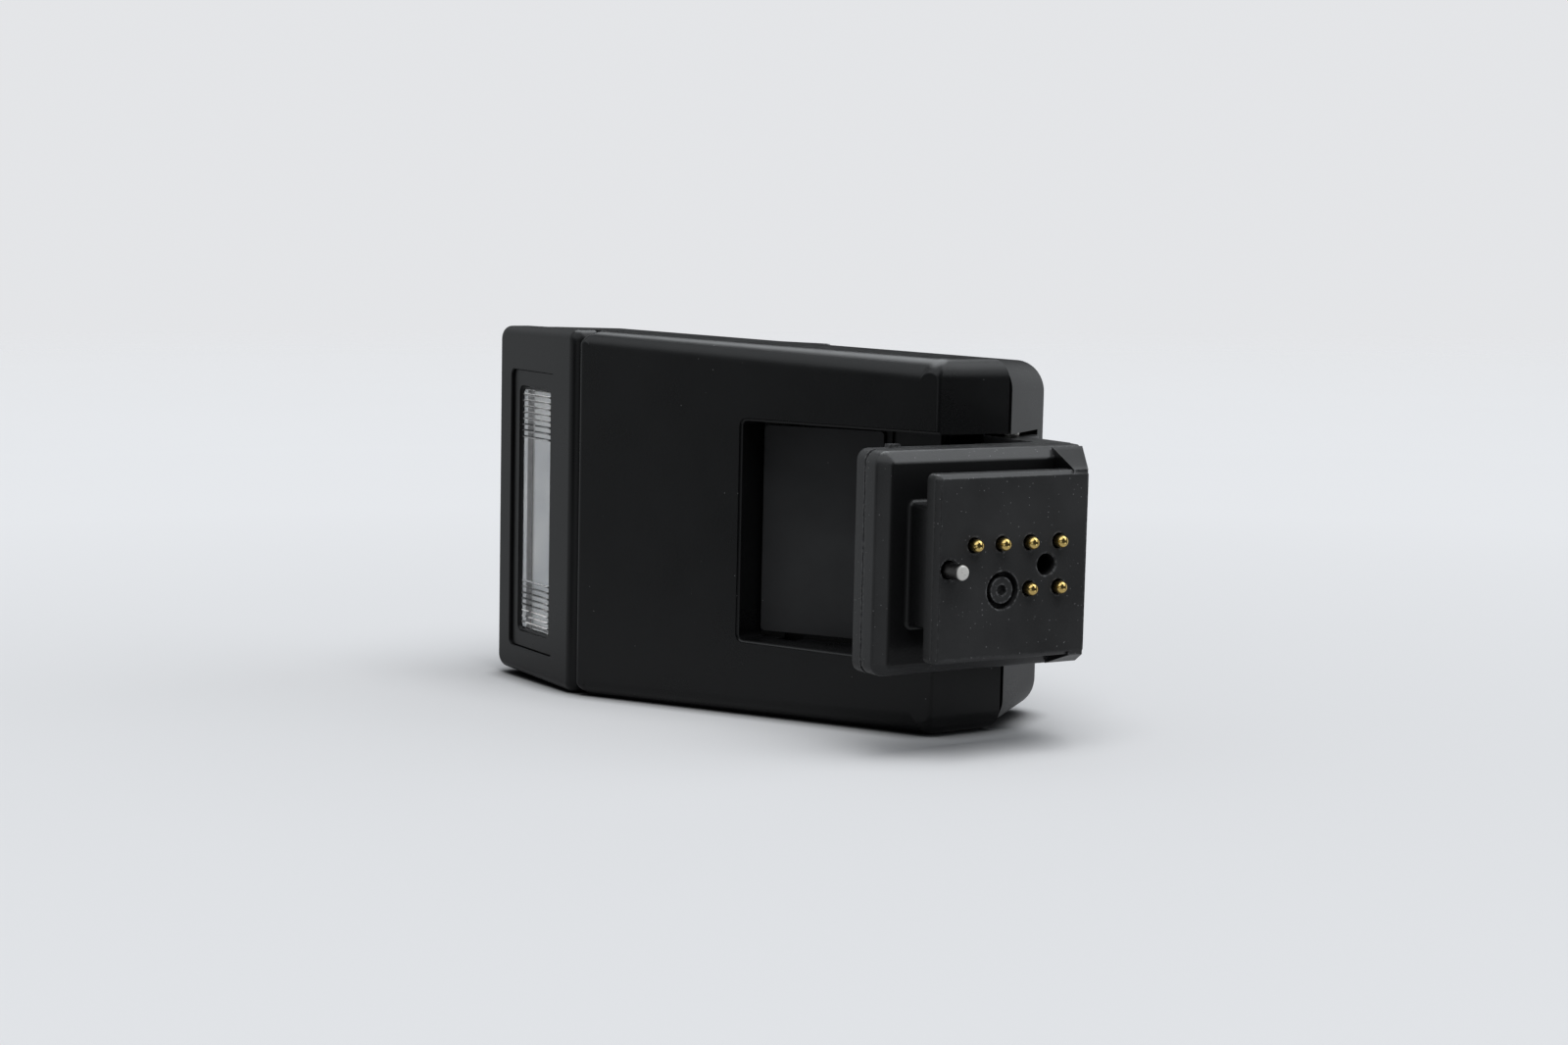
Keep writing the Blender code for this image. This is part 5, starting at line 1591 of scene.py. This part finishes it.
class FLASH_OT_usb_socket(bpy.types.Operator):
    """Build the charging socket with its tongue"""

    bl_idname = "flash.usb_socket"
    bl_label = "Charging socket"

    def execute(self, context):
        low, high = extent("usb_socket", BODY)
        wall = 0.3
        xs, ys = (low.x, high.x), (low.y, high.y)
        bm = bmesh.new()
        add_prism(bm, rectangle(xs, ys, 1.55), low.z, high.z)
        obj = to_object("charging_socket", bm)
        bm = bmesh.new()
        add_prism(bm, rectangle(xs, ys, 1.55, -wall), low.z + 1.0, high.z + 1.0)
        carve(obj, bm)
        middle = (low.y + high.y) / 2
        bm = bmesh.new()
        bm.from_mesh(obj.data)
        add_prism(bm, rectangle((low.x + 1.1, high.x - 1.1), (middle - 0.35, middle + 0.35), 0.15),
                  low.z + 0.5, high.z - 1.2)
        bm.to_mesh(obj.data)
        bm.free()
        carve(obj, outside_box(low))
        dress(obj, BODY, tin_sheet(), "body", "tinned_steel", "usb_socket")
        return {"FINISHED"}


def outside_box(low):
    """A small box clear of a piece, so that a cut with it only joins the piece's own bodies."""
    bm = bmesh.new()
    add_box(bm, (low.x - 3.0, low.x - 2.0), (low.y, low.y + 1.0), (low.z, low.z + 1.0))
    return bm


class FLASH_OT_inner_pieces(bpy.types.Operator):
    """Give the pieces inside their finishes"""

    bl_idname = "flash.inner_pieces"
    bl_label = "Inner pieces"

    def execute(self, context):
        for node, obj in frame["nodes"].items():
            if not obj.hide_render:
                obj.data.materials.clear()
                obj.data.materials.append(self.finish(node))
        return {"FINISHED"}

    def finish(self, node):
        """The finish of one inner piece."""
        if "barrel" in node:
            return brass_tube()
        if node in ("radio_module", "dial_encoder", "menu_switch", "test_switch"):
            return tin_sheet()
        if "board" in node:
            return plastic("board lacquer", (0.012, 0.07, 0.035), 0.35, 0.5, 2600.0, 0.00002)
        if node == "main_capacitor":
            return plastic("capacitor sleeve", (0.012, 0.014, 0.03), 0.3, 0.5, 3000.0, 0.00001)
        if node == "battery_cell":
            return plastic("cell wrap", (0.06, 0.09, 0.16), 0.35, 0.5, 1500.0, 0.00003)
        if node == "display_module":
            return plastic("display back", (0.02, 0.021, 0.022), 0.4, 0.5, 4000.0, 0.00001)
        return plastic("ferrite", (0.03, 0.028, 0.027), 0.6, 0.4, 5000.0, 0.00003)


class FLASH_OT_stage(bpy.types.Operator):
    """Build the pale floor, the soft studio light and the photograph's camera"""

    bl_idname = "flash.stage"
    bl_label = "Stage"

    def execute(self, context):
        self.floor()
        self.world(context.scene)
        self.lamps()
        self.camera(context.scene)
        context.scene.view_settings.view_transform = "Standard"
        return {"FINISHED"}

    def floor(self):
        """Wide pale sheet under the part, with painted shade near its middle and a painted contact shadow
        next to the part; polished pieces see the studio beyond its middle.
        """
        bm = bmesh.new()
        bmesh.ops.create_circle(bm, cap_ends=True, radius=6.0, segments=96)
        obj = to_object("floor", bm)
        made, tree, shader, vector = new_material("pale floor")
        pale = colours().floor
        distance = tree.nodes.new("ShaderNodeVectorMath")
        distance.operation = "LENGTH"
        wire(tree, vector, distance.inputs[0])
        tone = mixed(tree, noise(tree, vector, 6.0, 3.0), rgba(pale, 0.99), rgba(pale, 1.01))
        # painted shade: the floor's colour is about 8 percent darker within 6 cm of its middle, fading out by
        # 24 cm
        middle = mixed(tree, noise(tree, vector, 6.0, 3.0), rgba(pale, 0.91), rgba(pale, 0.93))
        tone = mixed(tree, mapped(tree, distance.outputs["Value"], 0.06, 0.24, 0.0, 1.0), middle, tone)
        # painted contact shadow: ambient occlusion darkens the floor's colour right next to the part, for
        # camera rays only
        contact = tree.nodes.new("ShaderNodeAmbientOcclusion")
        contact.inputs["Distance"].default_value = 0.004
        contact.samples = 8
        shade = mapped(tree, contact.outputs["AO"], 0.3, 0.85, 0.1, 1.0)
        path = tree.nodes.new("ShaderNodeLightPath")
        level = mapped(tree, path.outputs["Is Glossy Ray"], 0.0, 1.0, FLOOR_RETURN, FLOOR_GLOSS)
        level = maths(tree, "MAXIMUM", level, path.outputs["Is Camera Ray"])
        level = maths(tree, "MAXIMUM", level, path.outputs["Is Transmission Ray"])
        unlit = maths(tree, "SUBTRACT", 1.0, path.outputs["Is Camera Ray"])
        shade = maths(tree, "MAXIMUM", shade, unlit)
        shade = maths(tree, "MULTIPLY", shade, level)
        wire(tree, mixed(tree, shade, (0.0, 0.0, 0.0, 1.0), tone), shader.inputs["Base Color"])
        shader.inputs["Roughness"].default_value = 0.9
        shader.inputs["Specular IOR Level"].default_value = 0.0
        away = mapped(tree, distance.outputs["Value"], 0.05, 0.1, 0.0, 1.0)
        clear = tree.nodes.new("ShaderNodeBsdfTransparent")
        mix = tree.nodes.new("ShaderNodeMixShader")
        far = mapped(tree, distance.outputs["Value"], 0.4, 1.4, 0.0, 1.0)
        seen = maths(tree, "MULTIPLY", path.outputs["Is Camera Ray"], far)
        unseen = maths(tree, "MULTIPLY", path.outputs["Is Glossy Ray"], away)
        wire(tree, maths(tree, "MAXIMUM", seen, unseen), mix.inputs["Fac"])
        wire(tree, shader.outputs["BSDF"], mix.inputs[1])
        wire(tree, clear.outputs["BSDF"], mix.inputs[2])
        wire(tree, mix.outputs["Shader"], tree.nodes["Material Output"].inputs["Surface"])
        obj.data.materials.append(made)

    def world(self, scene):
        """Pale surround, seen by polished pieces as softboxes in a dim room."""
        world = bpy.data.worlds.new("studio")
        scene.world = world
        world.use_nodes = True
        tree = world.node_tree
        light = tree.nodes["Background"]
        path = tree.nodes.new("ShaderNodeLightPath")
        glossy = self.glow(tree, ROOM_GLOW, SOFTBOXES)
        plain = mixed(tree, path.outputs["Is Glossy Ray"], self.glow(tree, FILL_GLOW, FILL_BOXES), glossy)
        seen = maths(tree, "MAXIMUM", path.outputs["Is Camera Ray"], path.outputs["Is Transmission Ray"])
        white = (1.0, 1.0, 1.0, 1.0)
        pale = mixed(tree, path.outputs["Is Camera Ray"], white, rgba(colours().floor, BACKDROP_GAIN))
        wire(tree, mixed(tree, seen, plain, pale), light.inputs["Color"])

    def glow(self, tree, level, boxes):
        """A level of light with soft boxes added to it."""
        coordinates = tree.nodes.new("ShaderNodeTexCoord")
        for direction, outer, inner, strength in boxes:
            dot = tree.nodes.new("ShaderNodeVectorMath")
            dot.operation = "DOT_PRODUCT"
            wire(tree, coordinates.outputs["Generated"], dot.inputs[0])
            dot.inputs[1].default_value = Vector(direction).normalized()
            soft = tree.nodes.new("ShaderNodeMapRange")
            soft.interpolation_type = "SMOOTHSTEP"
            edges = (math.cos(math.radians(outer)), math.cos(math.radians(inner)), 0.0, strength)
            for socket, value in zip(soft.inputs, (dot.outputs["Value"], *edges)):
                wire(tree, value, socket)
            level = maths(tree, "ADD", level, soft.outputs[0])
        tint = tree.nodes.new("ShaderNodeVectorMath")
        tint.operation = "SCALE"
        tint.inputs[0].default_value = STUDIO_TINT
        wire(tree, level, tint.inputs["Scale"])
        return tint.outputs["Vector"]

    def lamps(self):
        """Broad soft light from above and in front, whose glints the softboxes give."""
        lamp = bpy.data.lights.new("overhead softbox", "SUN")
        lamp.energy = SUN_STRENGTH
        lamp.angle = math.radians(SUN_SPREAD)
        obj = bpy.data.objects.new("overhead softbox", lamp)
        bpy.context.scene.collection.objects.link(obj)
        obj.rotation_euler = Vector(SUN_FROM).to_track_quat("Z", "Y").to_euler()
        obj.visible_glossy = False

    def camera(self, scene):
        """The photograph's camera, placed in the body's frame."""
        forward = Vector((math.sin(CAMERA_YAW) * math.cos(CAMERA_PITCH),
                          math.cos(CAMERA_YAW) * math.cos(CAMERA_PITCH), -math.sin(CAMERA_PITCH)))
        right = Vector((math.cos(CAMERA_YAW), -math.sin(CAMERA_YAW), 0.0))
        upward = right.cross(forward)
        across = right * math.cos(CAMERA_ROLL) + upward * math.sin(CAMERA_ROLL)
        rise = upward * math.cos(CAMERA_ROLL) - right * math.sin(CAMERA_ROLL)
        turn = BODY.to_3x3() @ Matrix((across, rise, -forward)).transposed() * (1.0 / MM)
        lens = bpy.data.cameras.new("camera")
        lens.sensor_width = SENSOR
        lens.lens = PHOTO_FOCAL / PHOTO_WIDTH * SENSOR
        lens.clip_start = 0.01
        obj = bpy.data.objects.new("camera", lens)
        scene.collection.objects.link(obj)
        obj.matrix_world = Matrix.Translation(BODY @ Vector(CAMERA_PLACE)) @ turn.to_4x4()
        scene.camera = obj


PIECES = (
    FLASH_OT_front_housing, FLASH_OT_rear_shell, FLASH_OT_lens_bezel, FLASH_OT_window, FLASH_OT_lamp,
    FLASH_OT_label, FLASH_OT_shoe_base, FLASH_OT_foot_arm, FLASH_OT_contacts, FLASH_OT_lock_pin,
    FLASH_OT_screws, FLASH_OT_hinge_pin, FLASH_OT_controls, FLASH_OT_display, FLASH_OT_usb_socket,
    FLASH_OT_inner_pieces, FLASH_OT_stage,
)


class FLASH_PT_pieces(bpy.types.Panel):
    """Lists the operators that build the pieces"""

    bl_label = "Pocket flash"
    bl_idname = "FLASH_PT_pieces"
    bl_space_type = "VIEW_3D"
    bl_region_type = "UI"
    bl_category = "Flash"

    def draw(self, context):
        for piece in PIECES:
            self.layout.operator(piece.bl_idname)


CLASSES = (FlashSizes, FlashColours, *PIECES, FLASH_PT_pieces)


def register():
    """Register the classes and the scene's settings."""
    for made in CLASSES:
        bpy.utils.register_class(made)
    bpy.types.Scene.flash_sizes = PointerProperty(type=FlashSizes)
    bpy.types.Scene.flash_colours = PointerProperty(type=FlashColours)


def unregister():
    """Remove the scene's settings and the classes."""
    del bpy.types.Scene.flash_colours
    del bpy.types.Scene.flash_sizes
    for made in reversed(CLASSES):
        bpy.utils.unregister_class(made)


def main():
    """Build every piece."""
    register()
    for piece in PIECES:
        group, name = piece.bl_idname.split(".")
        getattr(getattr(bpy.ops, group), name)()


if __name__ == "__main__":
    main()
